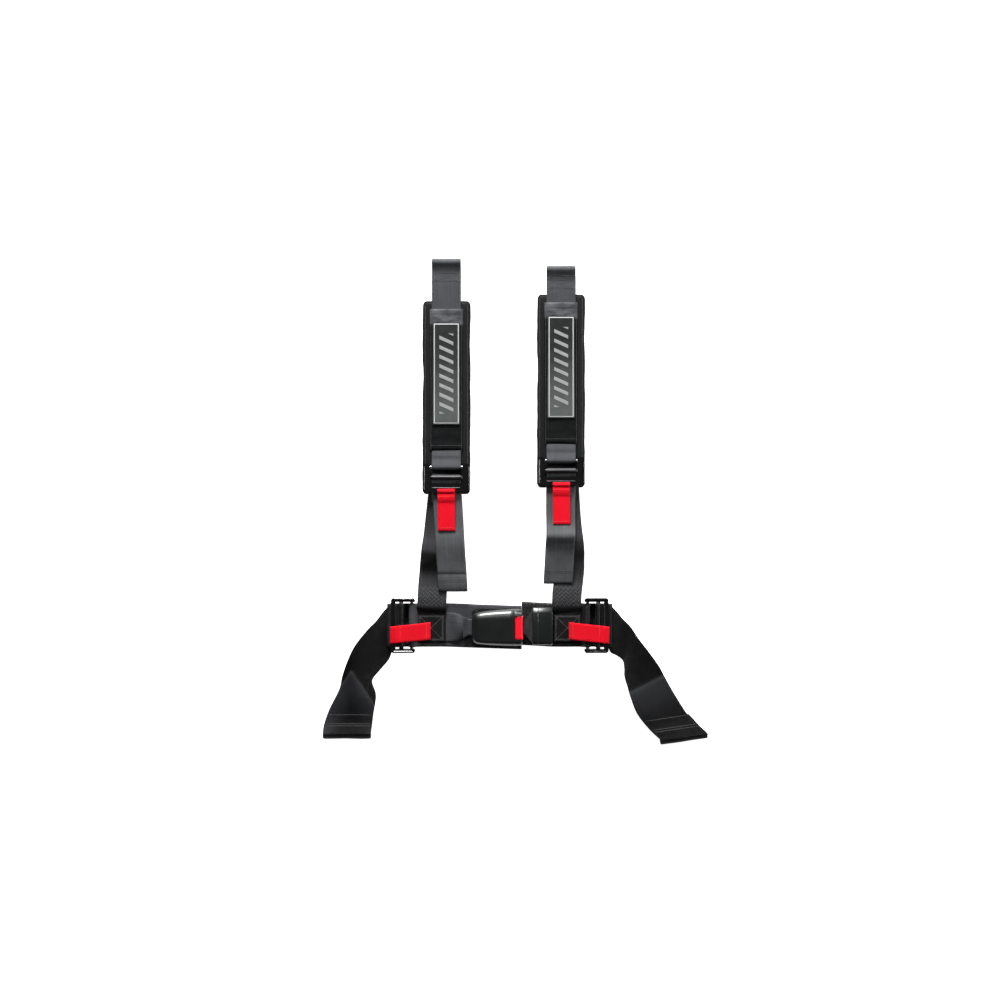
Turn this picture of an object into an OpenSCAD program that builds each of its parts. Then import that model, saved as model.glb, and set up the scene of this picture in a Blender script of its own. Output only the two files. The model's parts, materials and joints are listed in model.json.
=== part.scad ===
// Four point racing harness laid out flat. +X is the wearer's left half, +Y runs up the shoulder
// straps, +Z points off the floor. The latch plate sits in the push button buckle.

/* [Webbing] */
// Width of the shoulder webbing
shoulder_w = 50.8; // [45:0.1:55]
// Width of the lap webbing
lap_w = 76.2; // [70:0.1:80]
// Thickness of the shoulder webbing
shoulder_t = 1.6; // [1.2:0.1:1.8]
// Thickness of the lap webbing
lap_t = 1.8; // [1.4:0.1:1.9]
// Width of a pull tab
tab_w = 30; // [20:1:34]
// Length of a pull tab
tab_l = 66; // [50:1:75]

/* [Shoulders] */
// Centre of the first shoulder strap across the harness
first_shoulder_x = -120.5; // [-140:0.5:-110]
// Centre of the second shoulder strap across the harness
second_shoulder_x = 79.5; // [70:0.5:90]
// Fixed bar of the first shoulder adjuster along the harness
first_adjuster_y = 60; // [50:1:70]
// Fixed bar of the second shoulder adjuster along the harness
second_adjuster_y = 71.5; // [60:0.5:80]
// Length of the first upper strap from the fixed bar to the eye
first_upper_l = 364; // [340:1:375]
// Length of the second upper strap from the fixed bar to the eye
second_upper_l = 340; // [330:1:375]
// Width of a shoulder pad
pad_w = 84; // [76:1:90]
// Length of a shoulder pad
pad_l = 338; // [320:1:345]
// Thickness of a shoulder pad
pad_t = 9; // [7:0.5:9]
// Length of the sleeve on a pad
sleeve_l = 246; // [200:1:250]
// Length of the label on a sleeve
label_l = 178; // [120:1:190]
// Width of the label on a sleeve
label_w = 47; // [40:1:50]
// Length of the loose shoulder tail below the fixed bar
tail_l = 214; // [170:1:216]

/* [Adjusters] */
// Radius of the fixed bars and the slide bars
bar_r = 3; // [2.6:0.1:3]
// Thickness of an adjuster's frame plate
frame_t = 2.2; // [1.8:0.1:2.6]
// Overall width of a shoulder adjuster
shoulder_frame_w = 82; // [78:1:90]
// Overall width of a lap adjuster
lap_frame_w = 96; // [94:1:104]
// How far a slide bar can travel in its slots
grip_travel = 2.5; // [1:0.5:3]

/* [Lap] */
// Centre line of the lap band along the harness
lap_y = -215.6; // [-220:0.1:-212]
// Fixed bar of the first lap adjuster
first_lap_x = -181; // [-184:1:-178]
// Fixed bar of the second lap adjuster
second_lap_x = 126; // [124:1:130]

/* [Buckle] */
// Length of the buckle
buckle_l = 88; // [86:1:92]
// Width of the buckle
buckle_w = 64; // [62:1:68]
// Height of the buckle's top above the floor
buckle_top = 26; // [25.5:0.5:30]
// Right end of the buckle
buckle_end_x = 12; // [11:1:14]
// Centre line of the buckle along the harness
buckle_y = -219; // [-221:1:-217]
// Thickness of the tongue plate
tongue_t = 2; // [1.6:0.1:2.2]
// Width of the tongue's blade
tongue_w = 22; // [18:1:23]

/* [Mounts] */
// Radius of the eye at the end of a shoulder strap
shoulder_eye_r = 5.5; // [5:0.1:5.6]
// Radius of the eye at the end of a lap strap
lap_eye_r = 6.5; // [6:0.1:6.6]

/* [Hidden] */
$fn = 48;
fit = 0.05;                                // running clearance of a bar in its bore
gap = 0.3;                                 // clearance between pieces that move past each other
cut = 1;                                   // how far a cutting body runs past what it cuts
lay_z = pad_t + gap + 1.45;                // middle of the upper strap inside its sleeve
run_z = pad_t + gap + shoulder_t / 2;      // middle of the lower strap where it lies on the pad
wrap_r = bar_r + gap;                      // inside of webbing wrapped round a bar
shoulder_bar_z = run_z + gap + 1.5 * shoulder_t + wrap_r;
lap_bar_z = lap_t + gap + lap_t + wrap_r;
slide_y = -18;                             // slide bar behind the fixed bar
shoulder_lip = -41.75;                     // middle of the bar that carries the pull tab
lap_lip = -33.75;
lip_w = 4.5;
frame_front = 6;
ear_t = 2.5;
cap_t = 1.5;
tongue_z = 11.5;
tab_t = 1.4;
lap_tab_x = 13;                            // the lap tabs sit below the middle of the lap band
tab_r = 2.9;
strap_bar_x = buckle_end_x - 76;
cover_bar_x = 52.25;
cover_y = -217;
link_w = shoulder_w;
patch_z = lap_t + 1.5 * shoulder_t;
back_turn = 5;                             // how far each lower strap leans in plan
second_back_turn = -2.45;
first_tail_turn = 3;
second_tail_turn = -1.6;

// ---- bands of webbing: a constant thickness along a line of points, seen from the side ----
function unit(v) = v / norm(v);
function side(v) = [-v[1], v[0]];
function mitre(p, i) =
    i == 0 ? side(unit(p[1] - p[0]))
    : i == len(p) - 1 ? side(unit(p[i] - p[i - 1]))
    : let(a = side(unit(p[i] - p[i - 1])), b = side(unit(p[i + 1] - p[i])), m = unit(a + b)) m / (m * a);

module band_profile(p, t) {
    last = len(p) - 1;
    polygon(concat([for (i = [0:last]) p[i] + mitre(p, i) * t / 2],
                   [for (i = [last:-1:0]) p[i] - mitre(p, i) * t / 2]));
}

// A band along Y, its width across X
module band(p, t, w) rotate([90, 0, 90]) linear_extrude(w, center = true) band_profile(p, t);

// A round bar or bore across X
module across(r, l) rotate([0, 90, 0]) cylinder(r = r, h = l, center = true);

module ring(r, t, w) difference() {
    across(r + t, w);
    across(r, w + cut);
}

module rounded_box(x, y, r, h) linear_extrude(h) {
    square([x - 2 * r, y], center = true);
    square([x, y - 2 * r], center = true);
    for (i = [-1, 1], j = [-1, 1]) translate([i * (x / 2 - r), j * (y / 2 - r)]) circle(r);
}

// ---- places: the adjusters' own frames, with +Y toward the sewn loop ----
module at_left_shoulder() translate([first_shoulder_x, first_adjuster_y, 0]) children();
module at_right_shoulder() translate([second_shoulder_x, second_adjuster_y, 0]) children();
module at_left_lap() translate([first_lap_x, lap_y, 0]) rotate(-90) children();
module at_right_lap() translate([second_lap_x, lap_y, 0]) rotate(90) children();

// ---- adjuster pieces ----
module fixed_bar(inside, bar_z) color("silver") translate([0, 0, bar_z]) {
    across(bar_r, inside + 2 * ear_t + 2 * fit);
    for (s = [-1, 1]) translate([s * (inside / 2 + ear_t + fit + cap_t / 2), 0, 0])
        across(bar_r + 1, cap_t);
}

module slide_bar(inside, bar_z) translate([0, slide_y, 0]) fixed_bar(inside, bar_z);

module adjuster_frame(inside, outside, bar_z, webbing_t, slot_x, lip) color("dimgray") {
    plate_z = bar_z + wrap_r + webbing_t + 0.4;
    slot_w = tab_w + 4;
    back = lip - lip_w / 2;
    bead_x = outside / 2 - 2.2;
    difference() {
        union() {
            translate([0, (frame_front + back) / 2, plate_z])
                rounded_box(outside, frame_front - back, 5, frame_t);
            for (s = [-1, 1]) {
                translate([s * bead_x, back + 5, plate_z + frame_t])
                    rotate([-90, 0, 0]) cylinder(r = 2, h = frame_front - back - 10);
                translate([s * (inside + ear_t) / 2, 0, 0]) {
                    translate([0, 0, bar_z]) across(bar_r + 2, ear_t);
                    translate([-ear_t / 2, slide_y - 6, bar_z - bar_r - 2])
                        cube([ear_t, 6 - slide_y, plate_z - bar_z + bar_r + 2 + cut]);
                }
            }
        }
        translate([-inside / 2, -14.3, plate_z - cut]) cube([inside, 30, frame_t + 2 * cut]);
        translate([-inside / 2, -28, plate_z - cut]) cube([inside, 6.3, frame_t + 2 * cut]);
        translate([slot_x - slot_w / 2, lip + lip_w / 2, plate_z - cut]) cube([slot_w, 5, frame_t + 2 * cut]);
        translate([0, 0, bar_z]) across(bar_r + fit, outside + cut);
        translate([0, slide_y, bar_z]) across(bar_r + fit, outside + cut);
        translate([0, slide_y + grip_travel, bar_z]) across(bar_r + fit, outside + cut);
        translate([0, slide_y + grip_travel / 2, bar_z])
            cube([outside + cut, grip_travel, 2 * (bar_r + fit)], center = true);
    }
}

// Webbing round the slide bar: a leg under it and a tail that leaves over it and under the lip
module wrapped_tail(w, t, bar_z, leg_end, tail) color([0.12, 0.12, 0.13]) {
    leg_z = bar_z - wrap_r - t / 2;
    top_z = bar_z + wrap_r + t / 2;
    translate([0, slide_y, bar_z]) difference() {
        ring(wrap_r, t, w);
        translate([-w, -20, -10]) cube([2 * w, 20, 20]);
    }
    band([[leg_end, leg_z], [slide_y + 0.01, leg_z]], t, w);
    band([[slide_y + 0.01, top_z], [slide_y - 2, top_z - 0.2], tail[0]], t, w);
}

module pull_tab_loop(z, lip) translate([0, lip, z]) ring(tab_r, tab_t, tab_w);

// The tab hangs over the tail and away from the frame
module hanging_tab(bar_z, t) color("red") {
    z = bar_z + wrap_r + t + 0.4 + frame_t / 2;
    start = shoulder_lip - tab_r - 0.2;
    pull_tab_loop(z, shoulder_lip);
    band([[start - tab_l, z - 1.2], [start - 14, z - 0.9], [start, z]], 2 * tab_t, tab_w);
}

// The tab is folded back over the frame
module folded_tab(bar_z, t, x) color("red") translate([x, 0, 0]) {
    z = bar_z + wrap_r + t + 0.4 + frame_t / 2;
    pull_tab_loop(z, lap_lip);
    top = z + tab_r + tab_t;
    band([[lap_lip, top], [lap_lip + tab_l, top]], 2 * tab_t, tab_w);
}

// ---- shoulder pieces ----
module upper_strap(length) color([0.12, 0.12, 0.13]) {
    z = shoulder_bar_z;
    eye_t = shoulder_t;
    translate([0, 0, z]) ring(wrap_r, shoulder_t, shoulder_w);
    band([[wrap_r + 0.1, z], [12, z - 0.8], [16, z - 2.2]], 2 * shoulder_t, shoulder_w);
    difference() {
        union() {
            band([[14, z - 1.6], [26, lay_z], [length - 8, lay_z]], shoulder_t, shoulder_w);
            band([[max(length - 34, pad_l - 46), lay_z], [length - 8, lay_z]], 2 * shoulder_t, shoulder_w);
            translate([0, length - shoulder_eye_r - eye_t, lay_z])
                across(shoulder_eye_r + eye_t, shoulder_w);
        }
        translate([0, length - shoulder_eye_r - eye_t, lay_z]) across(shoulder_eye_r, shoulder_w + cut);
    }
}

module shoulder_tail(turn) color([0.12, 0.12, 0.13]) {
    z = shoulder_bar_z;
    lip_pass = [-30, z - 0.3];
    wrapped_tail(shoulder_w, shoulder_t, z, -62, [lip_pass]);
    translate([0, lip_pass[0], 0]) rotate(turn) translate([0, -lip_pass[0], 0])
        band([[-tail_l, 7.6], [4 - tail_l, 9], [-186, 12], [-160, 16.4], [-110, 17.4], [-60, z + 0.6],
              [-38, z - 0.2], lip_pass], shoulder_t, shoulder_w);
}

module pad() color([0.1, 0.1, 0.11])
    translate([0, pad_l / 2 - 47, 0]) rounded_box(pad_w, pad_l, 8, pad_t);

module sleeve() color([0.08, 0.08, 0.09]) {
    outer = 58;
    top_t = 0.8;
    height = 2 * (lay_z - pad_t);
    translate([0, 30, pad_t]) difference() {
        translate([-outer / 2, 0, 0]) cube([outer, sleeve_l, height + top_t]);
        translate([-shoulder_w / 2 - 0.8, -cut, 0.65])
            cube([shoulder_w + 1.6, sleeve_l + 2 * cut, height - 0.65]);
    }
}

module label() color([0.25, 0.25, 0.26])
    translate([0, 74 + label_l / 2, 2 * lay_z - pad_t + 0.8]) rounded_box(label_w, label_l, 2, 1.2);

// From the lap band up over the floor and on to the lower end of the pad
module lower_strap(adjuster_y, turn) color([0.1, 0.1, 0.11]) {
    top = -15;
    down = lap_y - adjuster_y;
    translate([0, top, 0]) rotate(-turn) translate([0, -top, 0])
        band([[down - 26, patch_z], [down + 25, patch_z], [down + 34, patch_z + 0.6],
              [down + 62, 4.6], [down + 97, 2.6], [down + 130, 10.6], [-108, run_z + 0.8],
              [-98, run_z], [top, run_z]], shoulder_t, shoulder_w);
}

// ---- lap pieces, in the lap adjuster's frame ----
module lap_band(reach) color([0.1, 0.1, 0.11]) {
    z = lap_bar_z;
    translate([0, 0, z]) ring(wrap_r, lap_t, lap_w);
    band([[wrap_r + 0.1, z], [5.5, z - 1], [9, lap_t / 2 + 0.7], [11.5, lap_t / 2], [reach, lap_t / 2]],
         lap_t, lap_w);
}

module lap_tail() {
    lip_pass = [-30, lap_bar_z + 0.4];
    wrapped_tail(lap_w, lap_t, lap_bar_z, -34, [lip_pass]);
    color([0.12, 0.12, 0.13]) band([[-42, lap_bar_z], lip_pass], lap_t, lap_w);
}

// A ribbon between two edges that turns as it goes; each station is [outer edge, inner edge]
module ribbon(stations, t) {
    n = len(stations);
    lift = [0, 0, t / 2];
    points = [for (s = stations) each [s[0] + lift, s[1] + lift, s[1] - lift, s[0] - lift]];
    walls = [for (i = [0:n - 2], k = [0:3])
        each [[4 * i + k, 4 * i + (k + 1) % 4, 4 * i + 4 + k],
              [4 * i + (k + 1) % 4, 4 * i + 4 + (k + 1) % 4, 4 * i + 4 + k]]];
    ends = [[3, 2, 1, 0], [4 * n - 4, 4 * n - 3, 4 * n - 2, 4 * n - 1]];
    polyhedron(points = points, faces = concat(walls, ends));
}

// A sewn eye at the end of a lap strap: a true bore across the webbing
module lap_eye_body(place, turn, r, l) translate(place) rotate(turn) across(r, l);

module lap_strap(stations, place, turn) color([0.12, 0.12, 0.13]) difference() {
    union() {
        ribbon(stations, lap_t);
        lap_eye_body(place, turn, lap_eye_r + lap_t, lap_w);
    }
    lap_eye_body(place, turn, lap_eye_r, 2 * lap_w);
}

// ---- buckle pieces ----
module in_buckle() translate([buckle_end_x - buckle_l / 2, buckle_y, 0]) children();
shell_split = 9.9;
wall = 7.5;
roof_z = 23.7;                             // underside of the roof that the button slides under

module screw_places() for (x = [8 - buckle_l / 2, buckle_l / 2 - 8], y = [-1, 1])
    translate([x, y * (buckle_w / 2 - wall / 2), 0]) children();

module blade_way() translate([-20, -tongue_w / 2 - 1, tongue_z - 1.6]) cube([80, tongue_w + 2, 3.2]);

module buckle_lower_shell() color([0.09, 0.09, 0.1]) in_buckle() difference() {
    translate([0, 0, lap_t]) rounded_box(buckle_l, buckle_w, 9, shell_split - lap_t);
    translate([3 - buckle_l / 2, wall - buckle_w / 2, 4]) cube([buckle_l - 14, buckle_w - 2 * wall, 20]);
    translate([-buckle_l / 2 - 5, -16, 4]) cube([20, 32, 20]);
    blade_way();
    screw_places() cylinder(r = 1.65, h = 20);
}

module shell_outside() intersection() {
    translate([0, 0, shell_split]) rounded_box(buckle_l, buckle_w, 9, buckle_top - shell_split);
    rotate([90, 0, 0]) linear_extrude(2 * buckle_w, center = true)
        polygon([[-buckle_l / 2, 0], [buckle_l / 2, 0], [buckle_l / 2, buckle_top - 3],
                 [buckle_l / 2 - 10, buckle_top], [6 - buckle_l / 2, buckle_top],
                 [-buckle_l / 2, 16]]);
    rotate([90, 0, 90]) linear_extrude(2 * buckle_l, center = true)
        polygon([[-buckle_w / 2, 0], [buckle_w / 2, 0], [buckle_w / 2, 16], [buckle_w / 3, buckle_top],
                 [-buckle_w / 3, buckle_top], [-buckle_w / 2, 16]]);
}

module buckle_upper_shell() color([0.1, 0.1, 0.11]) in_buckle() difference() {
    shell_outside();
    translate([3 - buckle_l / 2, wall - buckle_w / 2, 0]) cube([buckle_l - 14, buckle_w - 2 * wall, 22]);
    translate([-buckle_l / 2 - 5, -16, 0]) cube([20, 32, 15.6]);
    translate([buckle_l / 2 - 21, -21.2, shell_split - cut]) cube([40, 42.4, roof_z - shell_split + cut]);
    translate([buckle_l / 2 - 13.6, -21.2, shell_split]) cube([40, 42.4, 40]);
    screw_places() cylinder(r = 1.65, h = 14);
}

module buckle_frame() color("silver") in_buckle() difference() {
    length = buckle_l - 16;
    width = buckle_w - 2 * wall - 1;
    floor_t = 1.9;
    translate([4 - buckle_l / 2, -width / 2, 4.4]) cube([length, width, 14.6]);
    translate([-buckle_l, 2.2 - width / 2, 4.4 + floor_t]) cube([2 * buckle_l, width - 4.4, 20]);
    translate([buckle_l / 2 - 24, -buckle_w / 2, 8.4]) cube([40, buckle_w, 20]);
    rotate([0, 0, 90]) {
        translate([0, 32, tongue_z]) across(bar_r + fit, buckle_w);
        translate([0, 8, 16]) across(1.5 + fit, buckle_w);
    }
}

module strap_bar() color("silver") in_buckle()
    translate([-32, 0, tongue_z]) rotate(90) across(bar_r, buckle_w - 2 * wall - 1.4);

module pawl_pin() color("silver") in_buckle()
    translate([-8, 0, 16]) rotate(90) across(1.5, buckle_w - 2 * wall - 1.4);

// Sprung plate over the blade, its tooth just clear of the window in the blade
module latch_pawl() color("gray") in_buckle() difference() {
    union() {
        translate([-8, 0, 16]) rotate(90) across(3, 18);
        translate([-8, -9, 14.2]) cube([28, 18, 2]);
        translate([12, -5, tongue_z + tongue_t / 2 + gap]) cube([8, 10, 3]);
    }
    translate([-8, 0, 16]) rotate(90) across(1.5 + fit, 30);
}

module push_button() color("red") in_buckle() difference() {
    translate([buckle_l / 2 - 13, -20.5, 14.5]) intersection() {
        cube([14, 41, 8.9]);
        rotate([90, 0, 0]) translate([0, 0, -60]) linear_extrude(80)
            polygon([[0, 0], [14, 0], [14, 6], [11, 8.9], [0, 8.9]]);
    }
    for (y = [-14, 14]) translate([buckle_l / 2 - 14, y, 18.4]) rotate([0, 90, 0]) cylinder(r = 3, h = 11);
}

module button_springs() color("silver") in_buckle()
    for (y = [-14, 14]) translate([buckle_l / 2 - 20.8, y, 18.4]) rotate([0, 90, 0]) difference() {
        cylinder(r = 2.5, h = 12);
        translate([0, 0, -cut]) cylinder(r = 1.8, h = 12 + 2 * cut);
    }

module shell_screws() color("dimgray") in_buckle()
    screw_places() translate([0, 0, lap_t + 0.4]) cylinder(r = 1.6, h = 11);

// ---- tongue: blade with a latch window, wide head with a slot for the webbing ----
module tongue_plate() color("silver") translate([0, buckle_y, tongue_z - tongue_t / 2])
    linear_extrude(tongue_t) difference() {
        polygon([[-26, -tongue_w / 2], [16, -tongue_w / 2], [30, -29], [54.5, -29], [54.5, 33],
                 [30, 33], [16, tongue_w / 2], [-26, tongue_w / 2], [-28, tongue_w / 2 - 2],
                 [-28, 2 - tongue_w / 2]]);
        translate([-21.5, -6.5]) square([11, 13]);
        translate([43, 2 - link_w / 2 - 1]) square([7, link_w + 2]);
    }

module tongue_cover() color([0.1, 0.1, 0.11]) translate([0, cover_y, 0]) difference() {
    rotate([90, 0, 90]) translate([0, 0, 29.4]) linear_extrude(34.8)
        polygon([[-32.5, 2.2], [32.5, 2.2], [32.5, 15], [25, 19.5], [-27, 19.5], [-32.5, 15]]);
    translate([20, -31.2, tongue_z - 1.3]) cube([36, 62.4, 2.6]);
    translate([40, -27.2, 3.6]) cube([40, 54.4, 13.6]);
    translate([58, -27.2, 0]) cube([20, 54.4, 8]);
}

// The link straps tie the lap band to the buckle's bar and to the tongue
module left_link_strap() color([0.1, 0.1, 0.11]) {
    flat_z = lap_t + shoulder_t / 2;
    neck = 28;
    intersection() {
        translate([0, buckle_y + 3, 0]) rotate([90, 0, 0]) linear_extrude(link_w, center = true)
            band_profile([[-168, flat_z], [-105, flat_z], [-92, 5.2], [strap_bar_x - 10, 9.6],
                          [strap_bar_x - wrap_r - 0.1, tongue_z]], shoulder_t);
        translate([0, buckle_y, -cut]) linear_extrude(40)
            polygon([[-180, -40], [-110, -40], [-110, -22.4], [-90, -neck / 2], [-50, -neck / 2],
                     [-50, neck / 2], [-90, neck / 2], [-118, 28.4], [-180, 40]]);
    }
    translate([strap_bar_x, buckle_y, tongue_z]) rotate(90) ring(wrap_r, shoulder_t, neck);
}

module right_link_strap() color([0.1, 0.1, 0.11]) translate([0, cover_y, 0]) {
    flat_z = lap_t + shoulder_t / 2;
    low = tongue_z - wrap_r - shoulder_t / 2;
    translate([cover_bar_x, 0, tongue_z]) rotate(90) ring(wrap_r, shoulder_t, link_w);
    rotate([90, 0, 0]) linear_extrude(link_w, center = true)
        band_profile([[cover_bar_x, low], [57, low - 1], [63.5, flat_z + 0.05], [65, flat_z],
                      [115, flat_z]], shoulder_t);
}

// ---- the free ends of the lap band, each turning down toward its anchor ----
left_eye = [-294, -405, lap_eye_r + lap_t];
right_eye = [293.3, -410.5, lap_eye_r + lap_t];
right_eye_turn = 8;
flat = lap_t / 2;
upper_edge = lap_y + lap_w / 2;
lower_edge = lap_y - lap_w / 2;
left_stations = [
    [[-192, upper_edge, flat], [-192, lower_edge, flat]],
    [[-218, upper_edge - 1, flat], [-216, lower_edge, flat]],
    [[-230, -190, 5], [-219, -263, flat]],
    [[-243, -207, 11], [-222, -275, flat]],
    [[-258, -223, 16], [-232, -288, 1.5]],
    [[-279, -250, 18], [-243, -300, 2]],
    [[-293, -276, 17], [-248, -307, 3]],
    [[-303, -303, 12], [-250, -316, 6]],
    [[-309, -328, 7], [-245, -338, 10]],
    [[-326, -364, 4], [-250, -368, 10]],
    [[-332, -398, 8], [-256, -398, 8.5]],
];
right_stations = [
    [[138, upper_edge, flat], [138, lower_edge, flat]],
    [[164, upper_edge - 1, flat], [162, lower_edge, flat]],
    [[174, -190, 5], [168, -262, flat]],
    [[183, -202, 11], [177, -268, flat]],
    [[199, -216, 16], [188, -277, 1.5]],
    [[215, -239, 18], [191, -291, 3]],
    [[232, -262, 16], [193, -305, 5]],
    [[250, -287, 11], [196, -322, 8]],
    [[265, -314, 6], [201, -342, 10]],
    [[288, -350, 4], [216, -371, 10]],
    [[330, -400, 8], [255, -411, 8.5]],
];

// ---- the harness ----
at_left_shoulder() upper_strap(first_upper_l);  // left_upper_strap
at_left_shoulder() fixed_bar(57, shoulder_bar_z);  // left_fixed_bar
at_left_shoulder() adjuster_frame(57, shoulder_frame_w, shoulder_bar_z, shoulder_t, 0, shoulder_lip);  // left_adjuster_frame
at_left_shoulder() slide_bar(57, shoulder_bar_z);  // left_slide_bar
at_left_shoulder() shoulder_tail(first_tail_turn);  // left_tail_strap
at_left_shoulder() hanging_tab(shoulder_bar_z, shoulder_t);  // left_pull_tab
at_left_shoulder() pad();  // left_pad
at_left_shoulder() sleeve();  // left_sleeve
at_left_shoulder() label();  // left_label
at_left_shoulder() lower_strap(first_adjuster_y, back_turn);  // left_lower_strap
at_right_shoulder() upper_strap(second_upper_l);  // right_upper_strap
at_right_shoulder() fixed_bar(57, shoulder_bar_z);  // right_fixed_bar
at_right_shoulder() adjuster_frame(57, shoulder_frame_w, shoulder_bar_z, shoulder_t, 0, shoulder_lip);  // right_adjuster_frame
at_right_shoulder() slide_bar(57, shoulder_bar_z);  // right_slide_bar
at_right_shoulder() shoulder_tail(second_tail_turn);  // right_tail_strap
at_right_shoulder() hanging_tab(shoulder_bar_z, shoulder_t);  // right_pull_tab
at_right_shoulder() pad();  // right_pad
at_right_shoulder() sleeve();  // right_sleeve
at_right_shoulder() label();  // right_label
at_right_shoulder() lower_strap(second_adjuster_y, second_back_turn);  // right_lower_strap
at_left_lap() lap_band(10 - first_lap_x);  // left_lap_band
left_link_strap();
at_left_lap() fixed_bar(82, lap_bar_z);  // left_lap_fixed_bar
at_left_lap() adjuster_frame(82, lap_frame_w, lap_bar_z, lap_t, lap_tab_x, lap_lip);  // left_lap_frame
at_left_lap() slide_bar(82, lap_bar_z);  // left_lap_slide_bar
at_left_lap() lap_tail();  // left_lap_tail
at_left_lap() folded_tab(lap_bar_z, lap_t, lap_tab_x);  // left_lap_pull_tab
lap_strap(left_stations, left_eye, 0);  // left_lap_strap
at_right_lap() lap_band(second_lap_x - 11);  // right_lap_band
right_link_strap();
at_right_lap() fixed_bar(82, lap_bar_z);  // right_lap_fixed_bar
at_right_lap() adjuster_frame(82, lap_frame_w, lap_bar_z, lap_t, -lap_tab_x, lap_lip);  // right_lap_frame
at_right_lap() slide_bar(82, lap_bar_z);  // right_lap_slide_bar
at_right_lap() lap_tail();  // right_lap_tail
at_right_lap() folded_tab(lap_bar_z, lap_t, -lap_tab_x);  // right_lap_pull_tab
lap_strap([for (s = right_stations) [s[1], s[0]]], right_eye, right_eye_turn);  // right_lap_strap
buckle_lower_shell();
buckle_upper_shell();
buckle_frame();
strap_bar();
latch_pawl();
pawl_pin();
push_button();
button_springs();
shell_screws();
tongue_plate();
tongue_cover();
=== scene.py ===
import json
import math

import bmesh
import bpy
from mathutils import Matrix, Vector, noise

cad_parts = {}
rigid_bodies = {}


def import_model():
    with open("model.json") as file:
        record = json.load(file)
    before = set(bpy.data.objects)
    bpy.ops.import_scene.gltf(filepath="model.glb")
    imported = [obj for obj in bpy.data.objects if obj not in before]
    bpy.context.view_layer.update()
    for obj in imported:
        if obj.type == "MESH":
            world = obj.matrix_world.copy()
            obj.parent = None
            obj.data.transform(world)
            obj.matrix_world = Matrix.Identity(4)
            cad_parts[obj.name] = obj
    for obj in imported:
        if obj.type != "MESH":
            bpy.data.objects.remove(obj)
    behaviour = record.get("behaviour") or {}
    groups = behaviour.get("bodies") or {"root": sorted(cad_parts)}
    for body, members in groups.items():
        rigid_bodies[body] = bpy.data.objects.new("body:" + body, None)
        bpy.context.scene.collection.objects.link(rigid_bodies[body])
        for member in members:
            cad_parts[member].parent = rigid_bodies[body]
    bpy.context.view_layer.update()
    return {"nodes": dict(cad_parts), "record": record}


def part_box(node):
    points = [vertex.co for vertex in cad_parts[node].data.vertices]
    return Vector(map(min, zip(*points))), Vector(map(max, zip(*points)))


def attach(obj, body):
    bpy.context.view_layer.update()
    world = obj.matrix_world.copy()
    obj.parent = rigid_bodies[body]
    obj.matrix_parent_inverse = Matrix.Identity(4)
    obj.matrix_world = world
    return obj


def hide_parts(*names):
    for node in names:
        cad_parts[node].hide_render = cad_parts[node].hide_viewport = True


bl_info = {
    "name": "Racing Harness",
    "version": (1, 0, 0),
    "blender": (4, 5, 0),
    "location": "View3D > Sidebar > Harness",
    "description": "Webbing, pads, stitching and hardware finishes of a four point racing harness",
    "category": "Object",
}

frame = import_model()
MM = 0.001
UP = Vector((0, 0, 1))
# Where an adjuster's rolled lip lies from its fixed bar, in millimetres
LAP_LIP, SHOULDER_LIP = -33.75, -41.75
# Half the width of the lap webbing's folded end, and of the narrow webbing, in millimetres
ANCHOR_HALF, NARROW_HALF = 41.5, 25.4
# The step beyond a lap strap's crease: its height and run, and where it fades out, in millimetres
CREASE_RISE, CREASE_RUN, CREASE_END, CREASE_FADE = 3, 4, 70, 50


# ---------------------------------------------------------------- places read from the frame
def centre(node):
    """Middle of a node's box."""
    low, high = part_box(node)
    return (Vector(low) + Vector(high)) / 2


def size(node):
    """Length of each side of a node's box."""
    low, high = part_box(node)
    return Vector(high) - Vector(low)


class Adjuster:
    """Where one adjuster lies: along runs from the lip to the sewn loop, across is the bar's direction."""

    def __init__(self, side, place):
        self.side, self.place = side, place
        stem = side + ("_lap" if place == "lap" else "")
        self.body = stem + "_adjuster"
        self.grip = stem + "_grip"
        self.tab_body = stem + "_tab"
        self.root = "buckle" if side == "left" else "tongue_side"
        self.frame_node = stem + ("_frame" if place == "lap" else "_adjuster_frame")
        self.bar_node, self.slide_node = stem + "_fixed_bar", stem + "_slide_bar"
        self.bar, self.slide = centre(self.bar_node), centre(self.slide_node)
        self.along = (self.bar - self.slide).normalized()
        self.across = Vector((-self.along.y, self.along.x, 0)) * -1
        self.lip = LAP_LIP if place == "lap" else SHOULDER_LIP
        self.plate_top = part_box(self.frame_node)[1][2] - 2 * MM

    def at(self, along, z, across=0.0):
        """A point so many millimetres from the fixed bar, z millimetres above the floor."""
        p = self.bar + self.along * along * MM + self.across * across * MM
        return Vector((p.x, p.y, z * MM))


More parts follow.
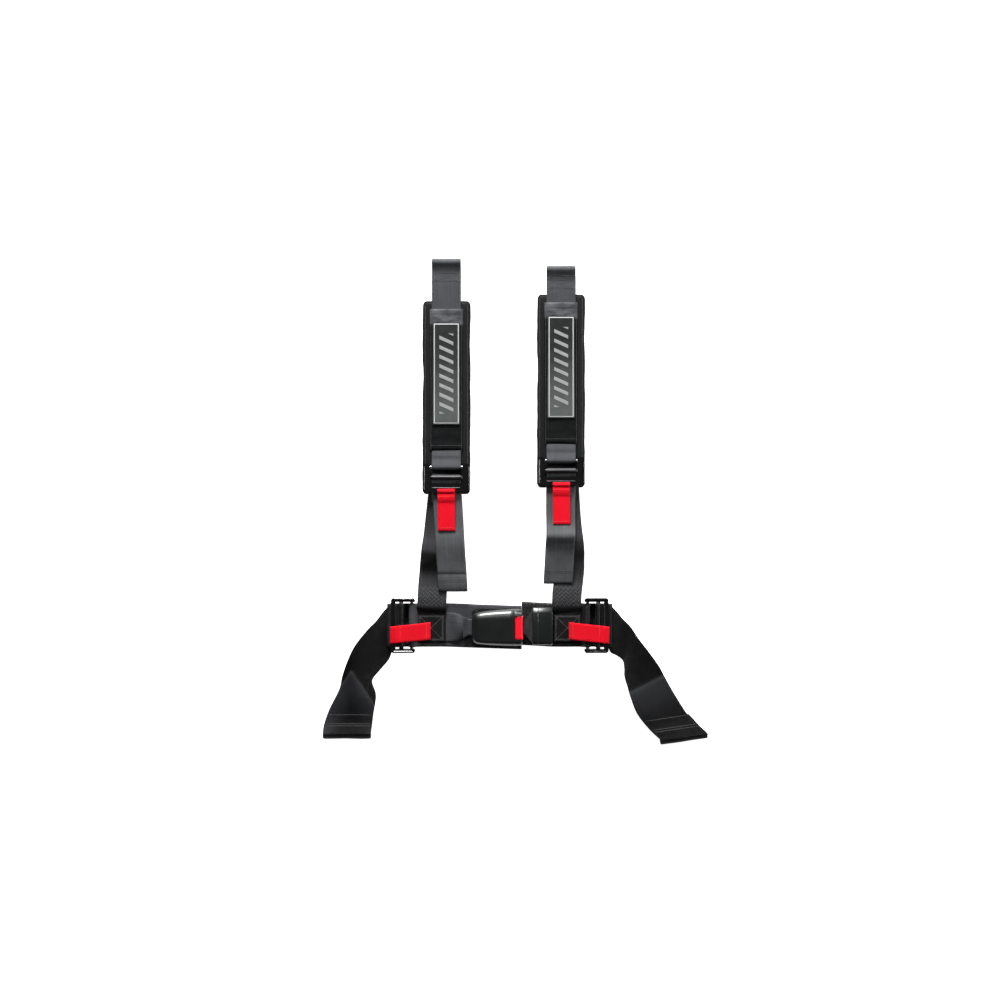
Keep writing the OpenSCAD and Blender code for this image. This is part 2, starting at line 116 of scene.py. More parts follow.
# ---------------------------------------------------------------- settings
class HarnessSettings(bpy.types.PropertyGroup):
    webbing: bpy.props.FloatProperty(
        name="Webbing thickness", description="Thickness of the shoulder webbing",
        default=1.6 * MM, unit="LENGTH")
    lap_webbing: bpy.props.FloatProperty(
        name="Lap webbing thickness", description="Thickness of the lap webbing",
        default=1.8 * MM, unit="LENGTH")
    tab_webbing: bpy.props.FloatProperty(
        name="Tab thickness", description="Thickness of the pull tabs' webbing",
        default=1.4 * MM, unit="LENGTH")
    wrap: bpy.props.FloatProperty(
        name="Wrap radius", description="Inner radius of webbing wrapped round an adjuster bar",
        default=3.3 * MM, unit="LENGTH")
    rib: bpy.props.FloatProperty(
        name="Rib pitch", description="Distance between the warp ribs of the webbing",
        default=1.45 * MM, unit="LENGTH")
    stitch: bpy.props.FloatProperty(
        name="Stitch length", description="Length of one stitch in the seams",
        default=3.0 * MM, unit="LENGTH")
    thread: bpy.props.FloatProperty(
        name="Thread radius", description="Radius of the sewing thread",
        default=0.36 * MM, unit="LENGTH")
    camera_height: bpy.props.FloatProperty(
        name="Camera height", description="Height of the camera above the floor",
        default=3.0, unit="LENGTH")
    field: bpy.props.FloatProperty(
        name="Picture width", description="Width of floor that the picture covers",
        default=1.75, unit="LENGTH")


# ---------------------------------------------------------------- mesh helpers
def add_mesh(name, verts, faces, uvs=None, smooth=True):
    """A mesh object from points and faces, with its flat coordinates for the weave."""
    mesh = bpy.data.meshes.new(name)
    mesh.from_pydata([tuple(v) for v in verts], [], faces)
    if uvs:
        layer = mesh.uv_layers.new(name="UVMap")
        for loop in mesh.loops:
            layer.data[loop.index].uv = uvs[loop.vertex_index]
    for poly in mesh.polygons:
        poly.use_smooth = smooth
    mesh.validate()
    obj = bpy.data.objects.new(name, mesh)
    bpy.context.scene.collection.objects.link(obj)
    return obj


def finish(obj, material, body, slot, *nodes):
    """Gives a piece its look and its body, and hides the CAD nodes that it stands for, if any. The slot is
    not used.
    """
    obj.data.materials.clear()
    obj.data.materials.append(material)
    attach(obj, body)
    if nodes:
        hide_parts(*nodes)
    return obj


def bake(obj):
    """Turns the object's modifiers into plain mesh."""
    graph = bpy.context.evaluated_depsgraph_get()
    graph.update()
    mesh = bpy.data.meshes.new_from_object(obj.evaluated_get(graph))
    obj.modifiers.clear()
    obj.data = mesh
    return obj


def arc(mid, radius, start, stop, steps=14):
    """Points (along, z) on an arc, angles in degrees from the along direction."""
    turn = [math.radians(start + (stop - start) * i / steps) for i in range(steps + 1)]
    return [(mid[0] + radius * math.cos(a), mid[1] + radius * math.sin(a)) for a in turn]


def smooth_line(points, step):
    """A Catmull-Rom curve through the points, resampled about every step."""
    p = [Vector(q) for q in points]
    p = [2 * p[0] - p[1]] + p + [2 * p[-1] - p[-2]]
    out = []
    for a, b, c, d in zip(p, p[1:], p[2:], p[3:]):
        count = max(1, round((c - b).length / step))
        for i in range(count):
            t = i / count
            out.append(0.5 * (2 * b + (c - a) * t + (2 * a - 5 * b + 4 * c - d) * t * t
                              + (3 * b - a - 3 * c + d) * t * t * t))
    return out + [p[-2].copy()]


def ribbon(name, path, across, thick, cells=14, shape=None):
    """A closed strip of webbing along path; across holds a half-width vector for each point.

    shape(v, u) gives an extra lift for a point v metres along and u from -1 to 1 across.
    """
    rows, last = len(path), len(path) - 1
    across = across if isinstance(across, list) else [across] * rows
    verts, uvs, faces, run = [], [], [], 0.0
    for i, p in enumerate(path):
        ahead = (path[min(i + 1, last)] - path[max(i - 1, 0)]).normalized()
        half = across[i]
        normal = half.normalized().cross(ahead).normalized()
        run += (p - path[i - 1]).length if i else 0.0
        for face in (1, -1):
            for k in range(cells + 1):
                u = 2 * k / cells - 1
                u = math.copysign(1 - (1 - abs(u)) ** 1.15, u)
                edge = 1 - 0.62 * max(0.0, (abs(u) - 0.93) / 0.07) ** 2
                lift = shape(run, u) if shape else 0.0
                verts.append(p + half * u + normal * (face * thick / 2 * edge + lift))
                uvs.append((u * half.length, run))
    width = cells + 1
    for i in range(last):
        a, b = 2 * width * i, 2 * width * (i + 1)
        for k in range(cells):
            faces.append((a + k, a + k + 1, b + k + 1, b + k))
            faces.append((a + width + k + 1, a + width + k, b + width + k, b + width + k + 1))
        faces.append((a + cells, a + width + cells, b + width + cells, b + cells))
        faces.append((a + width, a, b, b + width))
    for a, flip in ((0, False), (2 * width * last, True)):
        for k in range(cells):
            face = (a + k, a + width + k, a + width + k + 1, a + k + 1)
            faces.append(face[::-1] if flip else face)
    return add_mesh(name, verts, faces, uvs)


def ripple(amount, scale, seed):
    """A gentle unevenness for cloth that lies slack."""
    def lift(v, u):
        return amount * noise.noise(Vector((v / scale, u * 0.8, seed)))
    return lift


# ---------------------------------------------------------------- shader maths as plain expressions
class Val:
    """A number or colour inside a node tree, so that shader maths reads as ordinary arithmetic."""

    def __init__(self, tree, socket):
        self.tree, self.socket = tree, socket

    def maths(self, kind, *values):
        n = self.tree.nodes.new("ShaderNodeMath")
        n.operation = kind
        for slot, value in zip(n.inputs, (self, *values)):
            link(self.tree, value, slot)
        return Val(self.tree, n.outputs[0])

    def flipped(self, kind, other):
        n = self.tree.nodes.new("ShaderNodeMath")
        n.operation = kind
        link(self.tree, other, n.inputs[0])
        link(self.tree, self, n.inputs[1])
        return Val(self.tree, n.outputs[0])

    def __add__(self, other): return self.maths("ADD", other)
    def __radd__(self, other): return self.flipped("ADD", other)
    def __sub__(self, other): return self.maths("SUBTRACT", other)
    def __rsub__(self, other): return self.flipped("SUBTRACT", other)
    def __mul__(self, other): return self.maths("MULTIPLY", other)
    def __rmul__(self, other): return self.flipped("MULTIPLY", other)
    def __truediv__(self, other): return self.maths("DIVIDE", other)
    def __rtruediv__(self, other): return self.flipped("DIVIDE", other)
    def __neg__(self): return self.maths("MULTIPLY", -1.0)
    def __lt__(self, other): return self.maths("LESS_THAN", other)
    def __gt__(self, other): return self.maths("GREATER_THAN", other)
    def sin(self): return self.maths("SINE")
    def abs(self): return self.maths("ABSOLUTE")
    def fract(self): return self.maths("FRACT")
    def floor(self): return self.maths("FLOOR")
    def max(self, other): return self.maths("MAXIMUM", other)
    def min(self, other): return self.maths("MINIMUM", other)
    def power(self, other): return self.maths("POWER", other)

    def clamp(self):
        n = self.tree.nodes.new("ShaderNodeClamp")
        link(self.tree, self, n.inputs[0])
        return Val(self.tree, n.outputs[0])

    def ramp(self, low, high):
        """0 below low, 1 above high, smooth between."""
        n = self.tree.nodes.new("ShaderNodeMapRange")
        n.interpolation_type = "SMOOTHSTEP"
        link(self.tree, self, n.inputs[0])
        n.inputs[1].default_value, n.inputs[2].default_value = low, high
        return Val(self.tree, n.outputs[0])


def link(tree, value, slot):
    """Joins a value or a plain number to a shader socket."""
    if isinstance(value, Val):
        tree.links.new(value.socket, slot)
    else:
        slot.default_value = value


class Look:
    """One material: its node tree and the few nodes that every finish uses."""

    def __init__(self, name):
        self.mat = bpy.data.materials.new(name)
        self.mat.use_nodes = True
        self.tree = self.mat.node_tree
        self.shader = self.tree.nodes["Principled BSDF"]

    def node(self, kind, **settings):
        n = self.tree.nodes.new("ShaderNode" + kind)
        for key, value in settings.items():
            setattr(n, key, value)
        return n

    def value(self, socket):
        return Val(self.tree, socket)

    def uv(self):
        """(metres across, metres along) on a strip of webbing or a panel."""
        split = self.node("SeparateXYZ")
        self.tree.links.new(self.node("UVMap", uv_map="UVMap").outputs[0], split.inputs[0])
        return self.value(split.outputs[0]), self.value(split.outputs[1])

    def place(self):
        """Object coordinates in metres."""
        split = self.node("SeparateXYZ")
        self.tree.links.new(self.node("TexCoord").outputs["Object"], split.inputs[0])
        return [self.value(s) for s in split.outputs]

    def vector(self, x, y, z=0.0):
        n = self.node("CombineXYZ")
        for slot, value in zip(n.inputs, (x, y, z)):
            link(self.tree, value, slot)
        return n.outputs[0]

    def noise(self, scale, detail=4.0, where=None, rough=0.5):
        n = self.node("TexNoise")
        n.inputs["Scale"].default_value, n.inputs["Detail"].default_value = scale, detail
        n.inputs["Roughness"].default_value = rough
        self.tree.links.new(where or self.node("TexCoord").outputs["Object"], n.inputs["Vector"])
        return self.value(n.outputs[0])

    def mix(self, share, first, second):
        n = self.node("Mix", data_type="RGBA")
        link(self.tree, share, n.inputs[0])
        for slot, colour in ((n.inputs[6], first), (n.inputs[7], second)):
            if isinstance(colour, Val):
                link(self.tree, colour, slot)
            else:
                slot.default_value = (*colour, 1)
        return self.value(n.outputs[2])

    def bump(self, height, strength=1.0, metres=0.0004, under=None):
        n = self.node("Bump")
        n.inputs["Strength"].default_value, n.inputs["Distance"].default_value = strength, metres
        link(self.tree, height, n.inputs["Height"])
        if under:
            self.tree.links.new(under, n.inputs["Normal"])
        return n.outputs[0]

    def finish(self, colour, roughness, normal=None, **fixed):
        for name, value in (("Base Color", colour), ("Roughness", roughness)):
            slot = self.shader.inputs[name]
            if isinstance(value, tuple):
                slot.default_value = (*value, 1)
            else:
                link(self.tree, value, slot)
        if normal:
            self.tree.links.new(normal, self.shader.inputs["Normal"])
        for name, value in fixed.items():
            link(self.tree, value, self.shader.inputs[name.replace("_", " ")])
        return self.mat


def webbing_look(name, dark, light, rough, rib, gloss=0.22, shade_span=None, crease=None):
    """Narrow woven webbing: warp ribs along it, a twill step across them.

    shade_span gives the two places in Y between which it turns dark with painted shade. crease names the lap
    strap it is on, whose crease gets painted light and shade.
    """
    look = Look(name)
    across, along = look.uv()
    column = across / rib
    turn = 2 * math.pi
    zigzag = ((column * 0.25).fract() - 0.5).abs() * 2.0
    twill = ((along / (rib * 1.25) + zigzag * 1.6) * turn).sin() * 0.5 + 0.5
    ribs = ((column * turn).sin() * 0.5 + 0.5).power(0.7)
    yarn = ((along / (rib * 0.42)) * turn).sin() * 0.5 + 0.5
    fuzz = look.noise(900.0, 3.0, look.vector(across * 0.6, along))
    wear = look.noise(38.0, 5.0, look.vector(across, along * 0.5))
    streak = look.noise(26.0, 2.0, look.vector(across * 14.0, along * 0.35))
    height = ribs * 0.45 + twill * 0.4 + yarn * 0.1 + fuzz * 0.35
    share = (height * 0.55 + wear * 0.5 + streak * 0.35 - 0.38).clamp()
    colour = look.mix(share, dark, light)
    # painted shade: darker below the given span in Y, where the lower strap lies on the lap band
    if shade_span:
        y = look.place()[1]
        colour = look.mix((y + fuzz * 0.002).ramp(*shade_span), tuple(c * 0.6 for c in dark), colour)
    # painted light: the whole strap painted as shade, with a painted highlight in a band just beyond the
    # crease
    if crease:
        x, y = look.place()[:2]
        peak_x, peak_y, slope = CREASE[crease]
        below = (x - peak_x).abs() * -slope + peak_y - y
        lit = below.ramp(0.0, 0.004) * (1.0 - below.ramp(0.015, 0.085))
        colour = look.mix(lit * 0.9 + 0.05, tuple(c * 0.5 for c in dark), tuple(c * 1.7 for c in light))
    roughness = rough + (wear - 0.5) * 0.16 - twill * 0.06
    return look.finish(colour, roughness, look.bump(height, 0.75, 0.00055),
                       Sheen_Weight=0.03, Sheen_Roughness=0.4, Specular_IOR_Level=gloss)


def pad_look():
    """Air mesh cover: small open cells over foam, felted with lint."""
    look = Look("air_mesh")
    across, along = look.uv()
    cells = look.node("TexVoronoi", feature="F1")
    cells.inputs["Scale"].default_value = 520.0
    cells.inputs["Randomness"].default_value = 0.35
    look.tree.links.new(look.vector(across, along), cells.inputs["Vector"])
    hole = look.value(cells.outputs["Distance"])
    lint = look.noise(210.0, 5.0)
    worn = look.noise(16.0, 3.0)
    height = hole * 0.9 + lint * 0.4
    share = (hole * 0.7 + worn * 0.5 - 0.2).clamp()
    colour = look.mix(share, (0.0016, 0.0018, 0.0019), (0.011, 0.0118, 0.012))
    return look.finish(colour, 0.9 - worn * 0.1, look.bump(height, 0.7, 0.0006),
                       Sheen_Weight=0.02, Sheen_Roughness=0.5, Specular_IOR_Level=0.12)


def anchor_look(side, cfg):
    """Lap webbing with a shine, painted dark as shade, with a painted highlight just beyond its crease."""
    return webbing_look(side + "_anchor_webbing", (0.0008, 0.0008, 0.0011), (0.011, 0.0113, 0.0128), 0.48,
                        cfg.rib * 0.5, 0.1, crease=side)


def sleeve_look():
    """Smooth plain weave cover with soft creases and a slight shine, and painted highlights on the creases
    at its upper end.
    """
    look = Look("sleeve_cloth")
    across, along = look.uv()
    turn = 2 * math.pi
    weave = ((across / 0.0006) * turn).sin() * ((along / 0.0006) * turn).sin()
    crease = look.noise(60.0, 3.0, look.vector(across * 0.5, along))
    patchy = look.noise(22.0, 4.0)
    colour = look.mix((weave * 0.2 + crease * 0.6 + patchy * 0.5 - 0.4).clamp(), (0.0012, 0.0016, 0.0017),
                      (0.0062, 0.0076, 0.0078))
    # painted highlight: the creases at the upper end of the sleeve painted light
    crease_highlight = look.mix(crease.ramp(0.3, 0.7), (0.008, 0.0085, 0.009), (0.075, 0.078, 0.084))
    colour = look.mix(along.ramp(0.093, 0.099), colour, crease_highlight)
    under = look.bump(crease, 0.5, 0.003)
    return look.finish(colour, 0.58 + (patchy - 0.5) * 0.2, look.bump(weave, 0.35, 0.0002, under),
                       Specular_IOR_Level=0.07)


def label_look(width, length):
    """Woven patch: pale merrowed border, thread rows, and a plain mark of slanted bars."""
    look = Look("woven_patch")
    across, along = look.uv()
    turn = 2 * math.pi
    edge = (width / 2 - across.abs()).min(length / 2 - along.abs())
    border = 1.0 - (edge - 0.0026).abs().ramp(0.0006, 0.0011)
    rows = ((along / 0.0007) * turn).sin() * 0.5 + 0.5
    slant = along + across * 0.45
    bars = ((slant / 0.0165).fract() - 0.5).abs().ramp(0.17, 0.20)
    window = (0.0125 - across.abs()).ramp(0.0, 0.0006) * (0.070 - along.abs()).ramp(0.0, 0.0006)
    mark = (1.0 - bars) * window
    stitched = ((across / 0.0009 + along / 0.0016) * turn).sin() * 0.5 + 0.5
    dust = look.noise(90.0, 4.0)
    lit = look.noise(9.0, 2.0)
    worn = 1.0 - along.ramp(-0.085, 0.06)
    share = (rows * 0.25 + dust * 0.3 + lit * 0.3 + worn * 0.7 - 0.4).clamp()
    field = look.mix(share, (0.008, 0.0092, 0.009), (0.085, 0.092, 0.089))
    marked = look.mix(mark * 0.85, field, (0.26, 0.265, 0.262))
    colour = look.mix(border * (0.8 + stitched * 0.2), marked, (0.42, 0.42, 0.42))
    height = rows * 0.3 + border * 1.6 + mark * (0.9 + stitched * 0.5)
    return look.finish(colour, 0.62 - mark * 0.1 + dust * 0.1, look.bump(height, 0.8, 0.0005),
                       Specular_IOR_Level=0.07)


def steel_look(name, dark, light, rough, streak=900.0, metal=1.0):
    """Plated steel: fine drawing marks, finger haze and small scratches."""
    look = Look(name)
    x, y, z = look.place()
    drawn = look.noise(1.0, 4.0, look.vector(x * streak, y * 60.0, z * 60.0))
    haze = look.noise(70.0, 4.0)
    scratch = look.noise(1.0, 6.0, look.vector(x * 300.0, y * 1500.0, z * 300.0), 0.7).ramp(0.66, 0.74)
    colour = look.mix((haze * 0.6 + drawn * 0.5 - 0.1).clamp(), dark, light)
    lines = look.bump(drawn + scratch * 0.6, 0.25, 0.00012)
    return look.finish(colour, rough + drawn * 0.12 + haze * 0.1, lines,
                       Metallic=metal)


def coated_look():
    """Black coated steel: satin film, orange peel, and bright metal worn through on raised spots."""
    look = Look("black_coat")
    peel = look.noise(750.0, 2.0)
    grime = look.noise(60.0, 5.0)
    chips = look.noise(240.0, 5.0, None, 0.65).ramp(0.68, 0.74)
    coat = look.mix(grime, (0.001, 0.001, 0.0012), (0.004, 0.004, 0.0042))
    colour = look.mix(chips * 0.3, coat, (0.1, 0.1, 0.105))
    return look.finish(colour, 0.13 + grime * 0.09, look.bump(peel, 0.1, 0.0002),
                       Metallic=chips * 0.4, Coat_Weight=0.25)


def knurled_look():
    """Plated bar with a diamond knurl cut into it."""
    look = Look("knurled_bar")
    across, along = look.uv()
    turn = 2 * math.pi
    first = (((across + along) / 0.0011) * turn).sin()
    second = (((across - along) / 0.0011) * turn).sin()
    cut = first.max(second)
    haze = look.noise(90.0, 4.0)
    colour = look.mix((cut * 0.4 + haze * 0.5).clamp(), (0.03, 0.03, 0.033), (0.2, 0.2, 0.21))
    return look.finish(colour, 0.3 + haze * 0.15, look.bump(cut, 0.8, 0.0003), Metallic=1.0)


def shell_look():
    """Black moulded plastic with a fine spark texture and rubbed edges."""
    look = Look("shell_plastic")
    spark = look.noise(1900.0, 2.0)
    wide = look.noise(34.0, 4.0)
    rubbed = look.noise(170.0, 5.0, None, 0.6).ramp(0.62, 0.74)
    colour = look.mix((spark * 0.35 + wide * 0.4).clamp(), (0.002, 0.0024, 0.0024), (0.010, 0.0115, 0.0115))
    colour = look.mix(rubbed * 0.12, colour, (0.05, 0.05, 0.052))
    return look.finish(colour, 0.27 + wide * 0.1 - rubbed * 0.04, look.bump(spark, 0.3, 0.00018),
                       Specular_IOR_Level=0.5)


def button_look():
    """Red moulded plastic with polished high spots and faint flow marks."""
    look = Look("button_plastic")
    spark = look.noise(1500.0, 2.0)
    flow = look.noise(50.0, 3.0)
    colour = look.mix(flow, (0.62, 0.0012, 0.010), (0.88, 0.004, 0.020))
    return look.finish(colour, 0.3 + flow * 0.12, look.bump(spark, 0.15, 0.00012), Coat_Weight=0.2)


def thread_look(name, dark, light):
    """Twisted sewing thread."""
    look = Look(name)
    x, y, z = look.place()
    ply = (((x + y + z) / 0.0008) * 2 * math.pi).sin() * 0.5 + 0.5
    lint = look.noise(500.0, 3.0)
    colour = look.mix((ply * 0.6 + lint * 0.4).clamp(), dark, light)
    return look.finish(colour, 0.6 + lint * 0.15, look.bump(ply, 0.5, 0.0002), Sheen_Weight=0.2)


def make_looks(cfg):
    """Every finish of the harness, by the name that the pieces use."""
    label = size("left_label")
    return {
        "webbing": webbing_look("black_webbing", (0.006, 0.0064, 0.0070), (0.060, 0.0635, 0.070),
            0.62, cfg.rib),
        "lap_webbing": webbing_look("lap_webbing", (0.0008, 0.0008, 0.0011), (0.0095, 0.0098, 0.0115),
            0.4, cfg.rib, 0.24),
        "left_anchor_webbing": anchor_look("left", cfg),
        "right_anchor_webbing": anchor_look("right", cfg),
        # a lighter copy of the lap webbing for the left band: painted light
        "lit_band_webbing": webbing_look("lit_band_webbing", (0.008, 0.008, 0.009), (0.075, 0.077, 0.086),
            0.6, cfg.rib, 0.15),
        # a lighter copy of the shoulder webbing for the loose tails: painted light
        "tail_webbing": webbing_look("tail_webbing", (0.010, 0.0105, 0.011), (0.105, 0.112, 0.117),
            0.6, cfg.rib, 0.25),
        # a darker copy of the shoulder webbing for the lower straps, painted shade, darker still with
        # painted shade where it lies on the lap band
        "lower_webbing": webbing_look("lower_webbing", (0.003, 0.003, 0.0034), (0.040, 0.041, 0.044),
            0.66, cfg.rib, 0.15, (-0.186, -0.180)),
        "tab": webbing_look("red_webbing", (0.46, 0.0003, 0.005), (0.74, 0.0012, 0.017),
            0.7, cfg.rib * 0.8, 0.1),
        "pad": pad_look(),
        "sleeve": sleeve_look(),
        "label": label_look(label.x, label.y),
        "coated": coated_look(),
        "knurled": knurled_look(),
        "steel": steel_look("dark_steel", (0.07, 0.07, 0.072), (0.24, 0.24, 0.245), 0.26),
        "rolled": steel_look("rolled_steel", (0.012, 0.012, 0.013), (0.06, 0.06, 0.062), 0.34),
        "plate": steel_look("tongue_steel", (0.06, 0.06, 0.06), (0.2, 0.2, 0.2), 0.3, 500.0),
        "shell": shell_look(),
        "button": button_look(),
        "thread": thread_look("black_thread", (0.004, 0.004, 0.0045), (0.03, 0.03, 0.032)),
        "grey_thread": thread_look("grey_thread", (0.035, 0.035, 0.037), (0.10, 0.10, 0.105)),
        "red_thread": thread_look("red_thread", (0.42, 0.005, 0.01), (0.8, 0.02, 0.03)),
    }


LOOKS = {}


# ---------------------------------------------------------------- shoulders
SIDES = ("left", "right")


class Shoulder(Adjuster):
    """One shoulder's straps, seen from the side as (millimetres up the strap, millimetres off the floor)."""

    def __init__(self, side, cfg):
        super().__init__(side, "shoulder")
        self.body = side + "_adjuster"
        self.thick = cfg.webbing / MM
        self.loop = (cfg.wrap + cfg.webbing / 2) / MM
        self.bar_z, self.bar_y = self.bar.z / MM, self.bar.y / MM
        self.half = Vector((size(side + "_upper_strap").x / 2, 0, 0))
        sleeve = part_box(side + "_sleeve")
        self.sleeve_from, self.sleeve_to = (sleeve[0][1] - self.bar.y) / MM, (sleeve[1][1] - self.bar.y) / MM
        self.lay = sleeve[0][2] / MM + 1.75
        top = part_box(side + "_upper_strap")[1][1]
        self.eye_y = (top - self.bar.y) / MM - 7.1
        self.eye_r = 5.5 + self.thick / 2

    def line(self, points, step=2.5):
        return smooth_line([self.at(y, z) for y, z in points], step * MM)


def upper_strap(s, cfg):
    """One ribbon: sewn end, loop round the fixed bar, up through the sleeve, eye, and back under itself."""
    b, t, e = s.bar_z, s.thick, s.eye_y
    points = ([(27, s.lay + 0.9), (21, s.lay + 2.6), (13, b - 2.0), (7, b - 2.6)]
              + arc((0, b), s.loop, -80, -280, 12)
              + [(6, b + 2.4), (13, b - 0.2), (20, s.lay + 4.2), (26, s.lay + 2.2), (34, s.lay + 0.5),
                 (60, s.lay)]
              + [(s.sleeve_to - 20, s.lay), (e - 80, s.lay), (e - 40, s.lay + t * 0.5),
                 (e - 14, s.lay + t * 0.6)]
              + arc((e, s.lay), s.eye_r, 100, -100, 12)
              + [(e - 14, s.lay - t * 0.62), (e - 36, s.lay - t * 0.62)])
    strap = ribbon(s.side + "_shoulder_webbing", s.line(points), s.half, cfg.webbing,
                   shape=ripple(0.25 * MM, 0.05, 3 if s.side == "left" else 8))
    return finish(strap, LOOKS["webbing"], s.side + "_shoulder", "webbing", s.side + "_upper_strap")


# How each lower strap runs down to the lap band: (distance up from the lap line, sideways, height)
LOWER_RUN = {
    "left": [(263, -1.5, 10.3), (226, -6.5, 10.3), (180, -12, 10.8), (156, -14.5, 13), (136, -17.5, 18),
             (124, -19, 17.5), (111, -20.5, 9), (101, -21.5, 3.2), (88, -22.5, 2.4), (70, -24, 5.5),
             (48, -25, 9.5), (31, -26, 9), (25, -26.5, 6.2), (20, -26.8, 4.5), (-30, -26.8, 4.4)],
    "right": [(258, 4.2, 10.3), (242, 5.7, 10.3), (196, 8.5, 10.8), (168, 11, 13.5), (148, 13.6, 17),
              (130, 15.4, 13), (116, 15.7, 5), (98, 15.4, 2.6), (80, 13.6, 3.4), (62, 11.2, 7.5),
              (42, 9.6, 9), (31, 10.4, 7.6), (25, 10.9, 6), (20, 11.2, 4.6), (-30, 11.2, 4.4)],
}


def lower_strap(s, cfg):
    """From the lap band up over the floor and under the adjuster."""
    lap_y = centre(s.side + "_lap_band").y
    path = smooth_line([Vector((s.bar.x + x * MM, lap_y + y * MM, z * MM)) for y, x, z in LOWER_RUN[s.side]],
                       2.5 * MM)
    across = []
    for i in range(len(path)):
        ahead = path[min(i + 1, len(path) - 1)] - path[max(i - 1, 0)]
        flat = Vector((ahead.x * 0.75, ahead.y, 0)).normalized()
        across.append(Vector((-flat.y, flat.x, 0)) * s.half.length)
    strap = ribbon(s.side + "_lower_webbing", path, across, cfg.webbing,
                   shape=ripple(0.8 * MM, 0.045, 5 if s.side == "left" else 11))
    # the lower strap gets the darker copy of the webbing: painted shade
    return finish(strap, LOOKS["lower_webbing"], s.root, "webbing", s.side + "_lower_strap")


# The loose tails below the lip: (millimetres from the fixed bar, sideways, height)
TAIL_RUN = {
    "left": [(-30, 0, 15.7), (-38, 0.5, 15.6), (-60, 2.5, 16.4), (-85, 4, 17.4), (-108, 5.5, 18.6),
             (-122, 6.2, 20.2), (-136, 7, 20.6), (-150, 7.8, 19.2), (-166, 8.9, 17), (-182, 10, 15.6),
             (-186, 10.2, 14.2), (-190, 10.4, 14.6), (-204, 11.2, 14.4), (-214, 11.7, 12.6),
             (-216, 11.8, 11.2),
             (-213, 11.6, 10), (-200, 11, 11.4), (-187, 10.2, 11.8)],
    "right": [(-30, 0, 15.7), (-38, -0.3, 15.6), (-60, -0.8, 16.4), (-90, -1, 17.6), (-108, -0.8, 19),
              (-120, -0.8, 22.6), (-128, -1, 25.9), (-134, -1.2, 26.2), (-138, -1.4, 23.2),
              (-142, -1.6, 18.6),
              (-150, -2.2, 15.6),
              (-172, -3.2, 13.4), (-192, -4.2, 11.4), (-206, -5, 9.6), (-212, -5.3, 8.8), (-214, -5.4, 7.6),
              (-211, -5.2, 6.6), (-196, -4.4, 8.2), (-184, -3.8, 9.6)],
}


def tail_strap(s, cfg):
    """Under the frame, round the slide bar, under the lip and loose over the lower strap, its end hemmed."""
    b, slide = s.bar_z, (s.slide.y - s.bar.y) / MM
    under = b - s.loop
    points = ([(y, 0, under) for y in (-62, -40, slide - 6)]
              + [(y, 0, z) for y, z in arc((slide, b), s.loop, -90, 90, 10)]
              + [(slide - 4, 0, b + s.loop - 0.5)] + TAIL_RUN[s.side])
    path = smooth_line([s.at(y, z) + Vector((x * MM, 0, 0)) for y, x, z in points], 2.5 * MM)
    strap = ribbon(s.side + "_tail_webbing", path, s.half, cfg.webbing,
                   shape=ripple(0.5 * MM, 0.05, 21 if s.side == "left" else 27))
    # the tail gets the lighter copy of the webbing: painted light
    return finish(strap, LOOKS["tail_webbing"], s.side + "_grip", "webbing", s.side + "_tail_strap")


# ---------------------------------------------------------------- pads, sleeves and labels
def grid_rim(cols, rows):
    """Point numbers round the edge of a grid, in order."""
    wide = cols + 1
    return ([i for i in range(cols)] + [j * wide + cols for j in range(rows)]
            + [rows * wide + i for i in range(cols, 0, -1)] + [j * wide for j in range(rows, 0, -1)])


def pad_outline(u, v, half, length, wobble):
    """Half width of the pad at v along it: rounded corners and slightly uneven sides."""
    end = min(v, length - v)
    corner = 4 * MM
    pull = corner - math.sqrt(max(corner ** 2 - (corner - min(end, corner)) ** 2, 0))
    wave = wobble * (noise.noise(Vector((v * 17, math.copysign(3, u), 1))) * 1.6
                     + noise.noise(Vector((v * 70, math.copysign(7, u), 4))) * 0.5)
    return half - pull + wave


def pad(side):
    """A thin foam pad, puffed by a short cloth run between its seams, flat where it lies on the floor."""
    low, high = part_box(side + "_pad")
    half, length, thick = (high[0] - low[0]) / 2, high[1] - low[1], high[2] - low[2]
    mid = (high[0] + low[0]) / 2
    cols, rows = 18, 64
    verts, faces, uvs = [], [], []
    for top in (0, 1):
        for j in range(rows + 1):
            for i in range(cols + 1):
                u, v = 2 * i / cols - 1, length * j / rows
                across = pad_outline(u, v, half, length, 1.1 * MM) * u
                rim = max(0.0, 1 - min((1 - abs(u)) * half, v, length - v) / (7 * MM))
                z = 0.5 * thick + (top - 0.5) * thick * 0.86 * (1 - 0.72 * rim ** 2)
                verts.append((mid + across, low[1] + v, z))
                uvs.append((across, v - length / 2))
    step = (cols + 1) * (rows + 1)
    for j in range(rows):
        for i in range(cols):
            a = j * (cols + 1) + i
            quad = (a, a + 1, a + cols + 2, a + cols + 1)
            faces += [quad[::-1], tuple(k + step for k in quad)]
    rim = grid_rim(cols, rows)
    for a, b in zip(rim, rim[1:] + rim[:1]):
        faces.append((a, b, b + step, a + step))
    obj = add_mesh(side + "_foam_pad", verts, faces, uvs)
    puff(obj, rim, step)
    for vert in obj.data.vertices:
        vert.co.z = min(max(vert.co.z, 0.0003), thick + 0.0002)
    soften = obj.modifiers.new("soften", "SUBSURF")
    soften.levels = soften.render_levels = 1
    bake(obj)
    return finish(obj, LOOKS["pad"], side + "_pad", "pad_fabric", side + "_pad")


